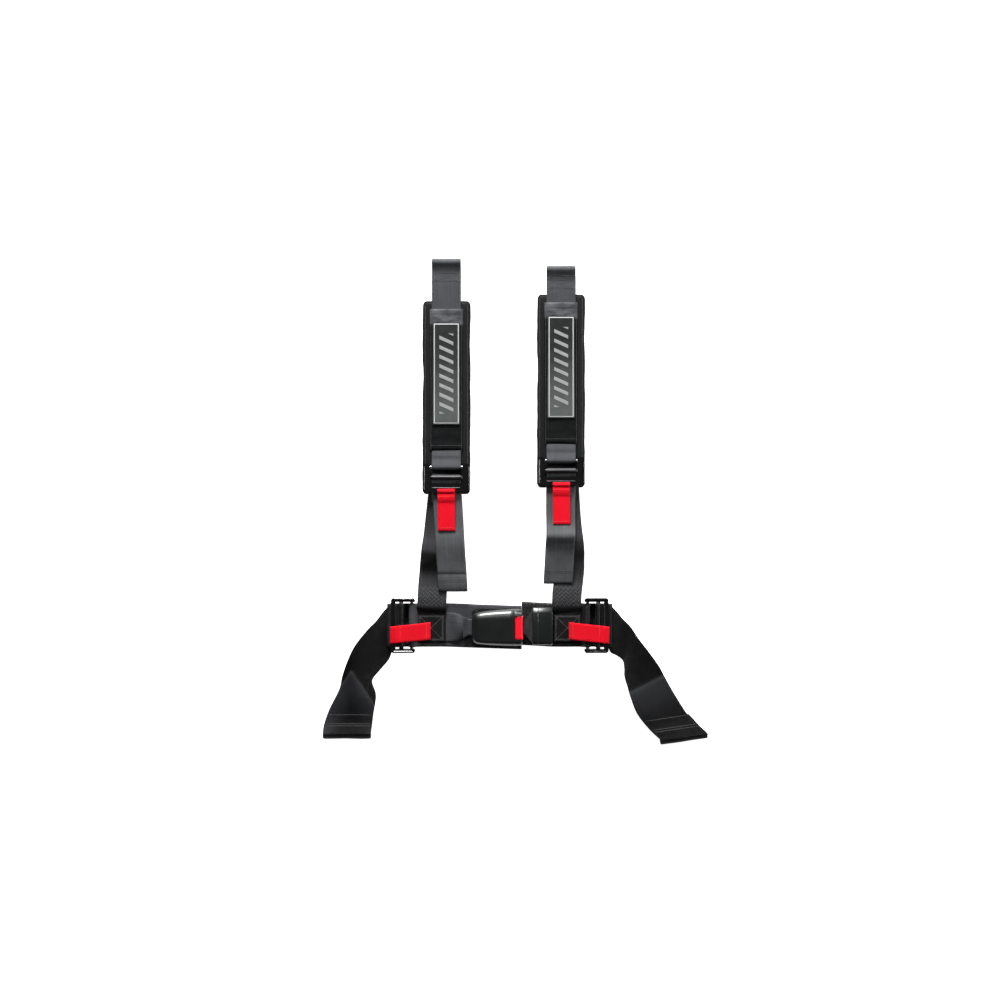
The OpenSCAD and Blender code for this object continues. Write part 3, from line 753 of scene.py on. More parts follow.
def puff(obj, rim, step):
    """A short pressure run in cloth, with the sewn edge held still."""
    held = obj.vertex_groups.new(name="sewn")
    held.add(list(set(rim)) + [i + step for i in set(rim)], 1.0, "REPLACE")
    cloth = obj.modifiers.new("puff", "CLOTH")
    settings = cloth.settings
    settings.vertex_group_mass = "sewn"
    settings.use_pressure = True
    settings.uniform_pressure_force = 2.0
    settings.effector_weights.gravity = 0.0
    settings.tension_stiffness = settings.compression_stiffness = 40
    settings.bending_stiffness = 4
    settings.quality = 6
    cloth.point_cache.frame_start, cloth.point_cache.frame_end = 1, 14
    scene = bpy.context.scene
    for at in range(1, 15):
        scene.frame_set(at)
    rest = [v.co.copy() for v in obj.data.vertices]
    bake(obj)
    scene.frame_set(1)
    for vert, was in zip(obj.data.vertices, rest):
        moved = vert.co - was
        if moved.length > 1.8 * MM:
            vert.co = was + moved.normalized() * 1.8 * MM


def panel(name, low, high, top, drape, cols=18, step=4 * MM, wall=0.9 * MM):
    """A cloth panel with thickness over a rectangle: drape(u, y) lifts it, and its edges turn down."""
    rows = max(2, round((high[1] - low[1]) / step))
    verts, uvs, faces = [], [], []
    mid, half = (low[0] + high[0]) / 2, (high[0] - low[0]) / 2
    for layer in (0, 1):
        for j in range(rows + 1):
            for i in range(cols + 1):
                u, y = 2 * i / cols - 1, low[1] + (high[1] - low[1]) * j / rows
                z = top + drape(u, y) - layer * wall
                verts.append((mid + u * half, y, z))
                uvs.append((u * half, y - (low[1] + high[1]) / 2))
    count = (cols + 1) * (rows + 1)
    for j in range(rows):
        for i in range(cols):
            a = j * (cols + 1) + i
            quad = (a, a + 1, a + cols + 2, a + cols + 1)
            faces += [quad, tuple(k + count for k in quad[::-1])]
    rim = grid_rim(cols, rows)
    faces += [(b, a, a + count, b + count) for a, b in zip(rim, rim[1:] + rim[:1])]
    return add_mesh(name, verts, faces, uvs)


def sleeve(side):
    """The cover sewn to the pad along both sides, with hemmed ends and soft cross creases."""
    low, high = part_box(side + "_sleeve")
    seed = 2 if side == "left" else 9

    def drape(u, y):
        edge = max(0.0, (abs(u) - 0.86) / 0.14)
        hem = 0.5 * MM if min(y - low[1], high[1] - y) < 9 * MM else 0.0
        crease = 0.9 * MM * noise.noise(Vector((u * 0.7, y * 42, seed)))
        return (hem + crease) * (1 - edge) - 2.8 * MM * edge ** 2

    obj = panel(side + "_sleeve_cover", low, high, high[2] - 0.6 * MM, drape, wall=0.8 * MM)
    side + "_foam_pad"
    return finish(obj, LOOKS["sleeve"], side + "_pad", "sleeve_fabric", side + "_sleeve")


def label(side):
    """The woven patch laid on the sleeve."""
    low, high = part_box(side + "_label")
    seed = 4 if side == "left" else 13

    def drape(u, y):
        tucked = max(0, abs(u) - 0.9) / 0.1
        return 0.5 * MM * noise.noise(Vector((u * 0.6, y * 24, seed))) - 0.45 * MM * tucked

    obj = panel(side + "_patch", low, high, high[2] + 0.1 * MM, drape, wall=1.5 * MM)
    side + "_sleeve_cover"
    return finish(obj, LOOKS["label"], side + "_pad", "label", side + "_label")


# ---------------------------------------------------------------- lap
def lap_band(a, cfg):
    """Along the floor, round the fixed bar and sewn back on itself."""
    z, t, loop = a.bar.z / MM, cfg.lap_webbing / MM, (cfg.wrap + cfg.lap_webbing / 2) / MM
    low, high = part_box(a.side + "_lap_band")
    reach = max(abs(high[0] - a.bar.x), abs(low[0] - a.bar.x)) / MM
    points = ([(reach + (0.8 if a.side == "left" else 0), t / 2), ((reach + 60) / 2, t / 2), (60, t / 2),
               (22, t / 2), (13, t / 2 + 0.2), (8, t / 2 + 1.0), (4.5, z - loop + 0.2)]
              + arc((0, z), loop, -95, -265, 12)
              + [(4, z + loop - 0.6), (8, t * 1.5 + 3), (11, t * 1.5 + 0.6)])
    lean = Vector((0, (-4.5 if a.side == "left" else 3) * MM, 0))
    path = smooth_line([a.at(y, h) + lean * max(0, (y - 60) / (reach - 60)) for y, h in points], 2.5 * MM)
    half = a.across * size(a.side + "_lap_band").y / 2
    strap = ribbon(a.side + "_lap_base", path, half, cfg.lap_webbing, 18, ripple(0.25 * MM, 0.06, 31))
    # the left band gets the lighter copy of the lap webbing, painted light; the right band the plain lap
    # webbing
    look = LOOKS["lit_band_webbing" if a.side == "left" else "lap_webbing"]
    return finish(strap, look, a.root, "webbing", a.side + "_lap_band")


def lap_tail(a, cfg):
    """The short end of lap webbing round the slide bar."""
    z, loop = a.bar.z / MM, (cfg.wrap + cfg.lap_webbing / 2) / MM
    slide = -(a.slide - a.bar).length / MM
    points = ([(-34, z - loop), (slide - 6, z - loop)] + arc((slide, z), loop, -90, 90, 10)
              + [(slide - 4, z + loop - 0.5), (-30, z + 0.6), (-36, z + 0.1), (-43, z - 0.2)])
    path = smooth_line([a.at(y, h) for y, h in points], 2.5 * MM)
    strap = ribbon(a.side + "_lap_wrap", path, a.across * size(a.side + "_lap_band").y / 2,
                   cfg.lap_webbing, 18,
                   ripple(0.3 * MM, 0.05, 35))
    return finish(strap, LOOKS["lap_webbing"], a.grip, "webbing", a.side + "_lap_tail")


# Edges of the free lap straps as they turn toward their anchors, in millimetres
LAP_EDGES = {
    "left": [((-180, -177.6, 0.9), (-180, -253.6, 0.9)), ((-196, -177.6, 0.9), (-196, -253.6, 0.9)),
             ((-216, -179, 1), (-214, -254, 1)),
             ((-229, -190, 7), (-217, -265, 1)), ((-243, -208, 15), (-222, -277, 1)),
             ((-258, -223, 19), (-233, -290, 1.5)), ((-279, -250, 20), (-243, -301, 2.5)),
             ((-292, -276, 18), (-248, -307, 4)), ((-302, -304, 13), (-250, -316, 8)),
             ((-308, -328, 7), (-243, -337, 12)), ((-325, -362, 3.5), (-247, -366, 10)),
             ((-334, -388, 6), (-252, -390, 9))],
    "right": [((125, -177.6, 0.9), (125, -253.6, 0.9)), ((142, -177.6, 0.9), (142, -253.6, 0.9)),
              ((162, -179, 1), (160, -254, 1)),
              ((176, -191, 7), (167, -264, 1)), ((186, -203, 14), (177, -269, 1)),
              ((200, -217, 19), (188, -278, 1.5)), ((214, -238, 20), (190, -291, 3.5)),
              ((231, -260, 18), (190, -305, 6)), ((250, -286, 12), (195, -322, 9)),
              ((262, -308, 7), (200, -340, 11)), ((281, -341, 4), (212, -370, 10)),
              ((306, -378, 6), (234, -398, 9))],
}


# How far the folded end leans with the strap's outer and inner edge, for each millimetre along it
BACK_LEAN = {"left": (0.25, 0.13), "right": (-0.78, -0.75)}
# The crease across each lap strap: its highest point across, along, and the slope on both sides
CREASE = {"left": (-0.286, -0.291, 1.5), "right": (0.350, -0.2545, 0.5)}


def crease_side(side, x, y):
    """How far a place on a lap strap lies beyond its crease, in metres."""
    peak_x, peak_y, slope = CREASE[side]
    return abs(x - peak_x) * -slope + peak_y - y


def lap_strap(a, cfg):
    """From under the adjuster round its bend to the anchor eye, then folded back and sewn."""
    mount = next(m for m in frame["record"]["mounts"] if m["name"] == a.side + "_lap_eye")
    eye, bore = Vector(mount["pos_m"]), mount["dims"]["r_mm"]
    outer = [Vector(p[0]) * MM for p in LAP_EDGES[a.side]]
    inner = [Vector(p[1]) * MM for p in LAP_EDGES[a.side]]
    axis = Vector(mount["axis"]).normalized()
    axis = axis if (axis.x > 0) == (a.side == "right") else -axis
    half = axis * ANCHOR_HALF * MM
    ahead = Vector((axis.y, -axis.x, 0))
    ahead = ahead if ahead.y < 0 else -ahead
    radius = (bore + cfg.lap_webbing / MM / 2) * MM
    loop = []
    for y, z in arc((0, 0), radius / MM, 105, -105, 12):
        loop.append(eye + ahead * y * MM + UP * z * MM)
    back = [eye - ahead * d * MM + UP * (z * MM) for d, z in ((11, -5.2), (22, -5.6), (34, -5.0))]
    lean_out, lean_in = BACK_LEAN[a.side]
    shifts = [Vector((d * MM, 0, 0)) for d in (11, 22, 34)]
    outer += [p + half for p in loop] + [p + half + shift * lean_out for p, shift in zip(back, shifts)]
    inner += [p - half for p in loop] + [p - half + shift * lean_in for p, shift in zip(back, shifts)]
    left, right = evenly(outer, 150), evenly(inner, 150)
    path = [(p + q) / 2 for p, q in zip(left, right)]
    sides = [(p - q) / 2 for p, q in zip(left, right)]
    strap = ribbon(a.side + "_anchor_webbing", path, sides, cfg.lap_webbing, 18,
                   ripple(1.7 * MM, 0.05, 41 if a.side == "left" else 47))
    for vert in strap.data.vertices:
        below = crease_side(a.side, vert.co.x, vert.co.y)
        rise = min(max(below / (CREASE_RUN * MM), 0), 1)
        fade = min(max((CREASE_END * MM - below) / (CREASE_FADE * MM), 0), 1)
        vert.co.z += CREASE_RISE * MM * rise * fade
    return finish(strap, LOOKS[a.side + "_anchor_webbing"], a.side + "_lap_strap", "webbing",
                  a.side + "_lap_strap")


def evenly(points, count):
    """A smooth curve with the same share of its points between each pair of control points."""
    p = [Vector(q) for q in points]
    p = [2 * p[0] - p[1]] + p + [2 * p[-1] - p[-2]]
    spans = len(p) - 3
    out = []
    for i in range(count):
        at = i / (count - 1) * spans
        k = min(int(at), spans - 1)
        t = at - k
        a, b, c, d = p[k:k + 4]
        out.append(0.5 * (2 * b + (c - a) * t + (2 * a - 5 * b + 4 * c - d) * t * t
                          + (3 * b - a - 3 * c + d) * t * t * t))
    return out


# ---------------------------------------------------------------- links between lap and buckle
def left_link(cfg):
    """Flat on the lap band, corners folded in to a neck, round the buckle's bar."""
    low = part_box("left_link_strap")[0]
    bar = centre("strap_bar")
    flat, z = low[2] / MM + 0.8, bar.z / MM
    x0, bx = low[0] / MM, bar.x / MM
    points = ([(x0, flat), (x0 + 30, flat), (-116, flat + 0.6), (-107, flat + 3.5), (-99, flat + 7),
               (-92, flat + 7.6),
               (-85, flat + 4.6), (-78, z - 4), (bx - 7, z - 3.8)]
              + arc((bx, z), 4.1, -120, 120, 10)
              + [(bx - 6, z + 2.6), (-77, z - 0.6), (-84, flat + 7), (-91, flat + 9.6)])
    path = smooth_line([Vector((x * MM, bar.y, h * MM)) for x, h in points], 2.5 * MM)
    across = []
    for p in path:
        turn = min(max((p.x / MM + 112) / 30, 0), 1)
        wide = 25.4 - 11.4 * turn ** 1.6
        across.append(Vector((0, -wide * MM, 0)))

    def fold(v, u):
        return -5.5 * MM * u * u * math.exp(-((v - 0.077) / 0.014) ** 2)

    strap = ribbon("left_buckle_link", path, across, cfg.webbing, 16, fold)
    return finish(strap, LOOKS["webbing"], "buckle", "webbing", "left_link_strap")


def right_link(cfg):
    """Round the tongue's bar inside the cover, then flat on the lap band."""
    low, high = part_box("right_link_strap")
    loop = centre("tongue_plate")
    bx, z, flat = low[0] / MM + 4.9, loop.z / MM, low[2] / MM + 0.8
    points = ([(high[0] / MM, flat), (80, flat), (69, flat), (64, flat + 0.6), (57.5, z - 4.8)]
              + arc((bx, z), 4.1, -90, -270, 10) + [(58, z + 2.6), (62, z - 1)])
    y = (low[1] + high[1]) / 2
    path = smooth_line([Vector((x * MM, y, h * MM)) for x, h in points], 2.5 * MM)
    strap = ribbon("right_buckle_link", path, Vector((0, NARROW_HALF * MM, 0)), cfg.webbing, 16,
                   ripple(0.3 * MM, 0.03, 57))
    return finish(strap, LOOKS["webbing"], "tongue_side", "webbing", "right_link_strap")


# ---------------------------------------------------------------- pull tabs
def shoulder_tab(s, cfg):
    """Doubled red webbing through the lip, hanging over the tail."""
    z = s.plate_top / MM - 1.1
    low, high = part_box(s.side + "_pull_tab")
    y, gap = s.lip, cfg.tab_webbing / MM / 2 + 0.05
    end = (low[1] - s.bar.y) / MM
    body = [(y - 5.5, 0.8), (y - 11, 1.3), (y - 17, 0.3), (y - 22, -0.9), (y - 42, -1.1), (end + 6, -1.2)]
    points = ([(a, z + h - gap) for a, h in body[::-1]] + arc((y, z), 3.6, 190, 530, 16)
              + [(a, z + h + gap) for a, h in body]
              + [(end + 0.6, z - 0.9), (end + 0.7, z - 1.5), (end + 5, z - 2.0)])
    half = Vector(((high[0] - low[0]) / 2, 0, 0))
    lean = Vector((0.5 * MM if s.side == "left" else 0.8 * MM, 0, 0))
    path = smooth_line([s.at(a, h) + lean * max(0, (-44 - a) / 66) for a, h in points], 1.6 * MM)
    tab = ribbon(s.side + "_red_tab", path, half, cfg.tab_webbing, 12, ripple(0.25 * MM, 0.03, 61))
    return finish(tab, LOOKS["tab"], s.tab_body, "tab_webbing", s.side + "_pull_tab")


def lap_tab(a, cfg):
    """Doubled red webbing through the lip, folded back over the frame toward the buckle."""
    z = a.plate_top / MM - 1.1
    low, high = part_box(a.side + "_lap_pull_tab")
    gap = cfg.tab_webbing / MM / 2 + 0.05
    reach = (high[0] - low[0]) / MM - 4.3
    y = a.lip
    body = [(-28, 4.4), (-22, 3.7), (-8, 3.3), (8, 3.2), (20, 2.2), (y + reach - 5, 0.2)]
    points = ([(p, z + h - gap) for p, h in body[::-1]] + arc((y, z), 3.6, 20, -290, 16)
              + [(p, z + h + gap) for p, h in body]
              + [(y + reach, z - 0.3), (y + reach + 0.3, z - 1.5), (y + reach - 5, z - 2.2)])
    middle = (low[1] + high[1]) / 2
    lean = 7.0 * MM
    rows = []
    for p, h in points:
        q = a.at(p, h)
        q.y = middle - 3.5 * MM + lean * (p - y) / reach
        rows.append(q)
    path = smooth_line(rows, 1.6 * MM)
    half = a.across * (high[1] - low[1]) / 2 if high[1] - low[1] < 0.04 else a.across * 15 * MM
    tab = ribbon(a.side + "_lap_red_tab", path, half, cfg.tab_webbing, 12, ripple(0.25 * MM, 0.03, 67))
    return finish(tab, LOOKS["tab"], a.tab_body, "tab_webbing", a.side + "_lap_pull_tab")


# ---------------------------------------------------------------- hardware
def slide_bar(a):
    """Knurled bar with turned ends and riveted heads."""
    length = size(a.slide_node).x if abs(a.across.x) > 0.5 else size(a.slide_node).y
    half = length / 2
    outline = [(-half, 0.0), (-half, 2.9), (-half + 0.4 * MM, 3.6), (-half + 1.0 * MM, 3.9),
               (-half + 1.45 * MM, 3.9),
               (-half + 1.5 * MM, 3.0), (-half + 4.4 * MM, 3.0), (-half + 4.9 * MM, 2.75)]
    outline += [(-x, r) for x, r in outline[::-1]]
    steps = 40
    verts, uvs, faces = [], [], []
    up = UP
    for x, r in outline:
        for k in range(steps + 1):
            t = 2 * math.pi * k / steps
            verts.append(a.slide + a.across * x + (a.along * math.cos(t) + up * math.sin(t)) * r * MM)
            uvs.append((x, t * 3 * MM))
    for i in range(len(outline) - 1):
        for k in range(steps):
            p = i * (steps + 1) + k
            faces.append((p, p + steps + 1, p + steps + 2, p + 1))
    bar = add_mesh(a.slide_node + "_knurled", verts, faces, uvs)
    weld = bar.modifiers.new("weld", "WELD")
    weld.merge_threshold = 1e-6
    bake(bar)
    face_out(bar)
    return finish(bar, LOOKS["knurled"], a.grip, "bright_steel", a.slide_node)


def loft(name, rings, sharp=40):
    """A closed form through rings of points, its ends capped."""
    count = len(rings[0])
    verts = [v for ring in rings for v in ring]
    faces = []
    for i in range(len(rings) - 1):
        for k in range(count):
            a, b = i * count + k, i * count + (k + 1) % count
            faces.append((a, b, b + count, a + count))
    faces += [tuple(reversed(range(count))), tuple(range((len(rings) - 1) * count, len(rings) * count))]
    obj = add_mesh(name, verts, faces)
    face_out(obj)
    obj.data.set_sharp_from_angle(angle=math.radians(sharp))
    return obj


def cut_box(obj, low, high):
    """Cuts an upright box, given in millimetres, out of a form."""
    box = add_mesh("cutter", [(x * MM, y * MM, z * MM) for z in (low[2], high[2]) for x, y in (
        (low[0], low[1]), (high[0], low[1]), (high[0], high[1]), (low[0], high[1]))],
        [(3, 2, 1, 0), (4, 5, 6, 7), (0, 1, 5, 4), (1, 2, 6, 5), (2, 3, 7, 6), (3, 0, 4, 7)], smooth=False)
    cutter = obj.modifiers.new("cut", "BOOLEAN")
    cutter.operation, cutter.solver, cutter.object = "DIFFERENCE", "EXACT", box
    bake(obj)
    bpy.data.objects.remove(box)


def soften(obj, width, sharp=40):
    """Rounds the edges of a hard piece."""
    edge = obj.modifiers.new("edge", "BEVEL")
    edge.width, edge.segments, edge.limit_method = width * MM, 2, "ANGLE"
    edge.angle_limit, edge.use_clamp_overlap = math.radians(38), True
    bake(obj)
    for poly in obj.data.polygons:
        poly.use_smooth = True
    obj.data.set_sharp_from_angle(angle=math.radians(sharp))


def crown(y, low, high, top, foot, flat):
    """Height of the buckle's skin at y: flat in the middle, rounded down to the side walls."""
    if flat[0] <= y <= flat[1]:
        return top
    share = (y - low) / (flat[0] - low) if y < flat[0] else (high - y) / (high - flat[1])
    turn = math.acos(1 - min(max(share, 0.0), 1.0) ** 1.1)
    return foot + (top - foot) * math.sin(turn) ** 0.85


def buckle_shell():
    """Upper shell: narrow and low at the webbing end, wide and full at the button end."""
    low, high = (Vector(c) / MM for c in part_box("buckle_upper_shell"))
    y, length = centre("strap_bar").y / MM, high.x - low.x
    base, top = low.z, high.z
    # distance from the left end, half width below and above the centre line, top, wall height, flat part
    stations = [(0.0, -19, 18, top - 8.5, base + 2.6, (-14, 12)),
                (1.2, -22.5, 21, top - 6.2, base + 3.6, (-17, 13)),
                (4.0, -25.5, 23.5, top - 3.2, base + 4.2, (-20.5, 14)),
                (8.5, -27.8, 25.5, top - 1.1, base + 4.6, (-22.6, 14.6)),
                (15, -29, 27, top - 0.2, base + 4.6, (-23.4, 14.9)),
                (26, -30, 28.6, top, base + 4.4, (-23.8, 15.1)),
                (44, -31, 30.4, top, base + 4.0, (-24, 15.2)),
                (66, -31.8, 31.6, top, base + 3.8, (-24.2, 15.3)),
                (length - 13.4, -32, 32, top, base + 3.8, (-24.2, 15.2)),
                (length - 1.8, -31.7, 31.7, top - 0.5, base + 3.8, (-23.8, 14.8)),
                (length, -30.6, 30.6, top - 2.2, base + 3.4, (-22.8, 13.8))]

    def rings(which, start, stop, count):
        out = []
        for x, a, b, t, foot, flat in which:
            first, last = (a if start is None else start), (b if stop is None else stop)
            row = [first + (last - first) * (1 - math.cos(math.pi * k / count)) / 2 for k in range(count
                                                                                                   + 1)]
            points = [(first, base)] + [(q, crown(q, a, b, t, foot, flat)) for q in row] + [(last, base)]
            out.append([Vector((low.x + x, y + q, z)) * MM for q, z in points])
        return out

    shell = loft("buckle_top", rings(stations[:9], None, None, 26))
    cut_box(shell, (low.x + 4, y - 21.4, base - 1), (high.x - 6, y + 21.4, top - 4))
    cut_box(shell, (low.x - 5, y - 15.5, base - 2), (low.x + 10, y + 15.5, base + 5.5))
    cut_box(shell, (high.x - 21, y - 21.1, top - 6), (high.x - 5, y + 21.1, top - 2.3))
    soften(shell, 0.45)
    walls = [loft("wall", rings(stations[8:], a, b, 10)) for a, b in ((None, -20.9), (20.9, None))]
    merge(shell, walls)
    return finish(shell, LOOKS["shell"], "buckle", "shell_plastic", "buckle_upper_shell")


def merge(obj, others):
    """Adds the meshes of the others to obj's."""
    bm = bmesh.new()
    for part in (obj, *others):
        bm.from_mesh(part.data)
    bm.to_mesh(obj.data)
    bm.free()
    for part in others:
        bpy.data.objects.remove(part)


def press_button():
    """Red button, slightly bowed along its length, its front edge rounded over."""
    low, high = (Vector(c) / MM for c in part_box("push_button"))
    mid, half = (low.y + high.y) / 2, (high.y - low.y) / 2
    rings = []
    for k in range(25):
        u = 2 * k / 24 - 1
        bow = 0.9 * (1 - u * u) - 0.5
        trim = 0.9 * max(0, (abs(u) - 0.94) / 0.06) ** 2
        profile = [(low.x, low.z), (high.x - 1.2 - bow, low.z), (high.x - 0.2 - bow, low.z + 0.6),
                   (high.x - bow, low.z + 4), (high.x - 0.3 - bow, high.z - 2.4 - trim),
                   (high.x - 1.3 - bow, high.z - 0.9 - trim), (high.x - 2.8 - bow, high.z - 0.15 - trim),
                   (high.x - 5 - bow, high.z + 0.05 - trim), (low.x + 0.6, high.z - trim),
                   (low.x, high.z - 0.5 - trim)]
        rings.append([Vector((x, mid + u * half, z)) * MM for x, z in profile])
    obj = loft("release_button", rings, 50)
    bake(obj)
    for y in (-14, 14):
        cut_box(obj, (low.x - 1, mid + y - 3, low.z + 0.9), (low.x + 10, mid + y + 3, low.z + 6.9))
    return finish(obj, LOOKS["button"], "button", "button_plastic", "push_button")


def tongue_head():
    """Cover of the tongue: flat top, a shining chamfer on its upper end and a moulded lip all round."""
    low, high = (Vector(c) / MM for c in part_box("tongue_cover"))
    mid, plate = (low.y + high.y) / 2, centre("tongue_plate").z / MM
    rings = []
    for x, shrink, drop in ((0, 0.9, 1.4), (0.6, 0.35, 0.5), (1.8, 0, 0), (9.5, 0, 0), (10.1, 0.25, 0.35),
                            (10.9, 0.25, 0.35),
                            (11.5, 0, 0), (33.4, 0, 0), (34.8, 0.4, 0.5), (high.x - low.x, 1.3, 1.6)):
        a, b, t = low.y + shrink, high.y - shrink, high.z - drop
        profile = [(a + 0.8, low.z), (a, low.z + 0.8), (a, t - 4.6), (a + 0.9, t - 2.2),
                   (a + 4.6, t - 0.2), (a + 6, t),
                   (b - 8.2, t), (b - 7.6, t - 0.15), (b - 1.0, t - 4.2), (b, t - 5.4), (b, low.z + 0.8),
                   (b - 0.8, low.z)]
        rings.append([Vector((low.x + x, y, z)) * MM for y, z in profile])
    obj = loft("tongue_head", rings, 25)
    bake(obj)
    cut_box(obj, (low.x - 5, mid - 31.1, plate - 1.33), (low.x + 26.6, mid + 31.1, plate + 1.31))
    cut_box(obj, (low.x + 10.6, mid - 27.2, low.z + 1.4), (high.x + 5, mid + 27.2, low.z + 15))
    cut_box(obj, (low.x + 28.6, mid - 27.2, low.z - 5), (high.x + 5, mid + 27.2, low.z + 6))
    soften(obj, 0.3, 30)
    return finish(obj, LOOKS["shell"], "tongue_side", "shell_plastic", "tongue_cover")


def bridge(a):
    """Rolled steel over the slide bar, and the rolled lip beyond it."""
    inside = size(a.slide_node).dot(Vector([abs(c) for c in a.across])) / MM / 2 - 4
    top = a.plate_top / MM - 0.4
    rods = []
    for at, wide, tall, reach in ((-18, 3.1, 2.0, inside), (a.lip + 5.4, 1.5, 1.1, inside * 0.9)):
        rings = []
        for k in range(25):
            u = 2 * k / 24 - 1
            taper = 1 - 0.75 * max(0, (abs(u) - 0.93) / 0.07) ** 2
            rings.append([a.at(at + wide * math.cos(t), top + tall * taper * math.sin(t), u * reach)
                          for t in [math.pi * j / 10 for j in range(11)]])
        rods.append(loft(a.side + "_" + a.place + "_bridge", rings, 60))
    merge(rods[0], rods[1:])
    return finish(rods[0], LOOKS["rolled"], a.body, "dark_steel")


def face_out(obj):
    """Turns the faces of a closed piece outward."""
    bm = bmesh.new()
    bm.from_mesh(obj.data)
    bmesh.ops.recalc_face_normals(bm, faces=bm.faces)
    bm.to_mesh(obj.data)
    bm.free()


def repaint(node, look, bevel=0.5, angle=32):
    """Gives a CAD node its finish and softens its edges."""
    obj = frame["nodes"][node]
    if not obj.material_slots:
        obj.data.materials.append(LOOKS[look])
    for held in obj.material_slots:
        held.material = LOOKS[look]
    if bevel:
        edge = obj.modifiers.new("edge", "BEVEL")
        edge.width = bevel * MM
        edge.segments = 3
        edge.limit_method = "ANGLE"
        edge.angle_limit = math.radians(angle)
        edge.harden_normals = False
        edge.use_clamp_overlap = True
    return obj


# ---------------------------------------------------------------- stitching
def stitch_tree():
    """Geometry nodes: lines in, a row of sewn stitches out."""
    tree = bpy.data.node_groups.new("Stitch row", "GeometryNodeTree")
    face = tree.interface
    face.new_socket("Geometry", in_out="INPUT", socket_type="NodeSocketGeometry")
    for name, value in (("Stitch length", 0.003), ("Thread radius", 0.0004)):
        face.new_socket(name, in_out="INPUT", socket_type="NodeSocketFloat").default_value = value
    face.new_socket("Thread", in_out="INPUT", socket_type="NodeSocketMaterial")
    face.new_socket("Geometry", in_out="OUTPUT", socket_type="NodeSocketGeometry")
    new, join = tree.nodes.new, tree.links.new
    enter, leave = new("NodeGroupInput"), new("NodeGroupOutput")
    curve, points = new("GeometryNodeMeshToCurve"), new("GeometryNodeCurveToPoints")
    points.mode = "LENGTH"
    ball, scale = new("GeometryNodeMeshUVSphere"), new("GeometryNodeTransform")
    ball.inputs["Segments"].default_value, ball.inputs["Rings"].default_value = 8, 6
    ball.inputs["Radius"].default_value = 1.0
    combine, half = new("ShaderNodeCombineXYZ"), new("ShaderNodeMath")
    half.operation = "MULTIPLY"
    half.inputs[1].default_value = 0.46
    jitter, turn = new("FunctionNodeRandomValue"), new("FunctionNodeAlignRotationToVector")
    jitter.data_type = "FLOAT"
    jitter.inputs[2].default_value, jitter.inputs[3].default_value = 0.88, 1.08
    place, solid, paint = (new("GeometryNodeInstanceOnPoints"), new("GeometryNodeRealizeInstances"),
                           new("GeometryNodeSetMaterial"))
    turn.axis = "Z"
    join(enter.outputs["Geometry"], curve.inputs[0])
    join(curve.outputs[0], points.inputs["Curve"])
    join(enter.outputs["Stitch length"], points.inputs["Length"])
    join(enter.outputs["Stitch length"], half.inputs[0])
    for axis in (0, 1):
        join(enter.outputs["Thread radius"], combine.inputs[axis])
    join(half.outputs[0], combine.inputs[2])
    join(ball.outputs["Mesh"], scale.inputs["Geometry"])
    join(combine.outputs[0], scale.inputs["Scale"])
    join(points.outputs["Tangent"], turn.inputs["Vector"])
    join(points.outputs["Points"], place.inputs["Points"])
    join(scale.outputs[0], place.inputs["Instance"])
    join(turn.outputs[0], place.inputs["Rotation"])
    join(jitter.outputs[1], place.inputs["Scale"])
    join(place.outputs[0], solid.inputs[0])
    join(solid.outputs[0], paint.inputs["Geometry"])
    join(enter.outputs["Thread"], paint.inputs["Material"])
    join(paint.outputs[0], leave.inputs[0])
    return tree


def dropped(line, targets, lift):
    """A plan line of (x, y) millimetres laid on the top faces of the targets."""
    out = []
    for (x0, y0), (x1, y1) in zip(line, line[1:]):
        count = max(1, round(math.dist((x0, y0), (x1, y1)) / 1.5))
        for i in range(count + 1):
            x, y = x0 + (x1 - x0) * i / count, y0 + (y1 - y0) * i / count
            tops = []
            for target in targets:
                hit, spot = target.ray_cast(Vector((x * MM, y * MM, 0.2)), -UP)[:2]
                if hit:
                    tops.append(spot.z)
            if tops:
                out.append(Vector((x * MM, y * MM, max(tops) + lift)))
    return out


def seam(name, lines, targets, body, look, slot, cfg, length=None, radius=None):
    """Rows of stitches along plan lines on top of the targets."""
    targets = [bpy.data.objects[t] for t in targets]
    radius = radius or cfg.thread
    verts, edges = [], []
    for line in lines:
        row = dropped(line, targets, radius * 0.35)
        edges += [(len(verts) + i, len(verts) + i + 1) for i in range(len(row) - 1)]
        verts += row
    mesh = bpy.data.meshes.new(name)
    mesh.from_pydata(verts, edges, [])
    obj = bpy.data.objects.new(name, mesh)
    bpy.context.scene.collection.objects.link(obj)
    tree = bpy.data.node_groups.get("Stitch row") or stitch_tree()
    rows = obj.modifiers.new("stitches", "NODES")
    rows.node_group = tree
    for item in tree.interface.items_tree:
        if item.in_out == "INPUT" and item.socket_type != "NodeSocketGeometry":
            rows[item.identifier] = {"Stitch length": length or cfg.stitch, "Thread radius": radius,
                                     "Thread": LOOKS[look]}[item.name]
    bake(obj)
    if not len(obj.data.polygons):
        raise ValueError(name + " has no stitches: its lines miss their cloth")
    for poly in obj.data.polygons:
        poly.use_smooth = True
    return finish(obj, LOOKS[look], body, slot)


def box_cross(x0, x1, y0, y1):
    """A sewn box with a cross in it."""
    return [[(x0, y0), (x1, y0), (x1, y1), (x0, y1), (x0, y0)],
            [(x0 + 1.6, y0 + 1.6), (x1 - 1.6, y0 + 1.6), (x1 - 1.6, y1 - 1.6), (x0 + 1.6, y1 - 1.6),
             (x0 + 1.6, y0 + 1.6)], [(x0, y0), (x1, y1)], [(x0, y1), (x1, y0)]]


def zigzag(x0, x1, y0, y1, teeth):
    """One line back and forth between y0 and y1."""
    return [(x0 + (x1 - x0) * i / teeth, y1 if i % 2 else y0) for i in range(teeth + 1)]


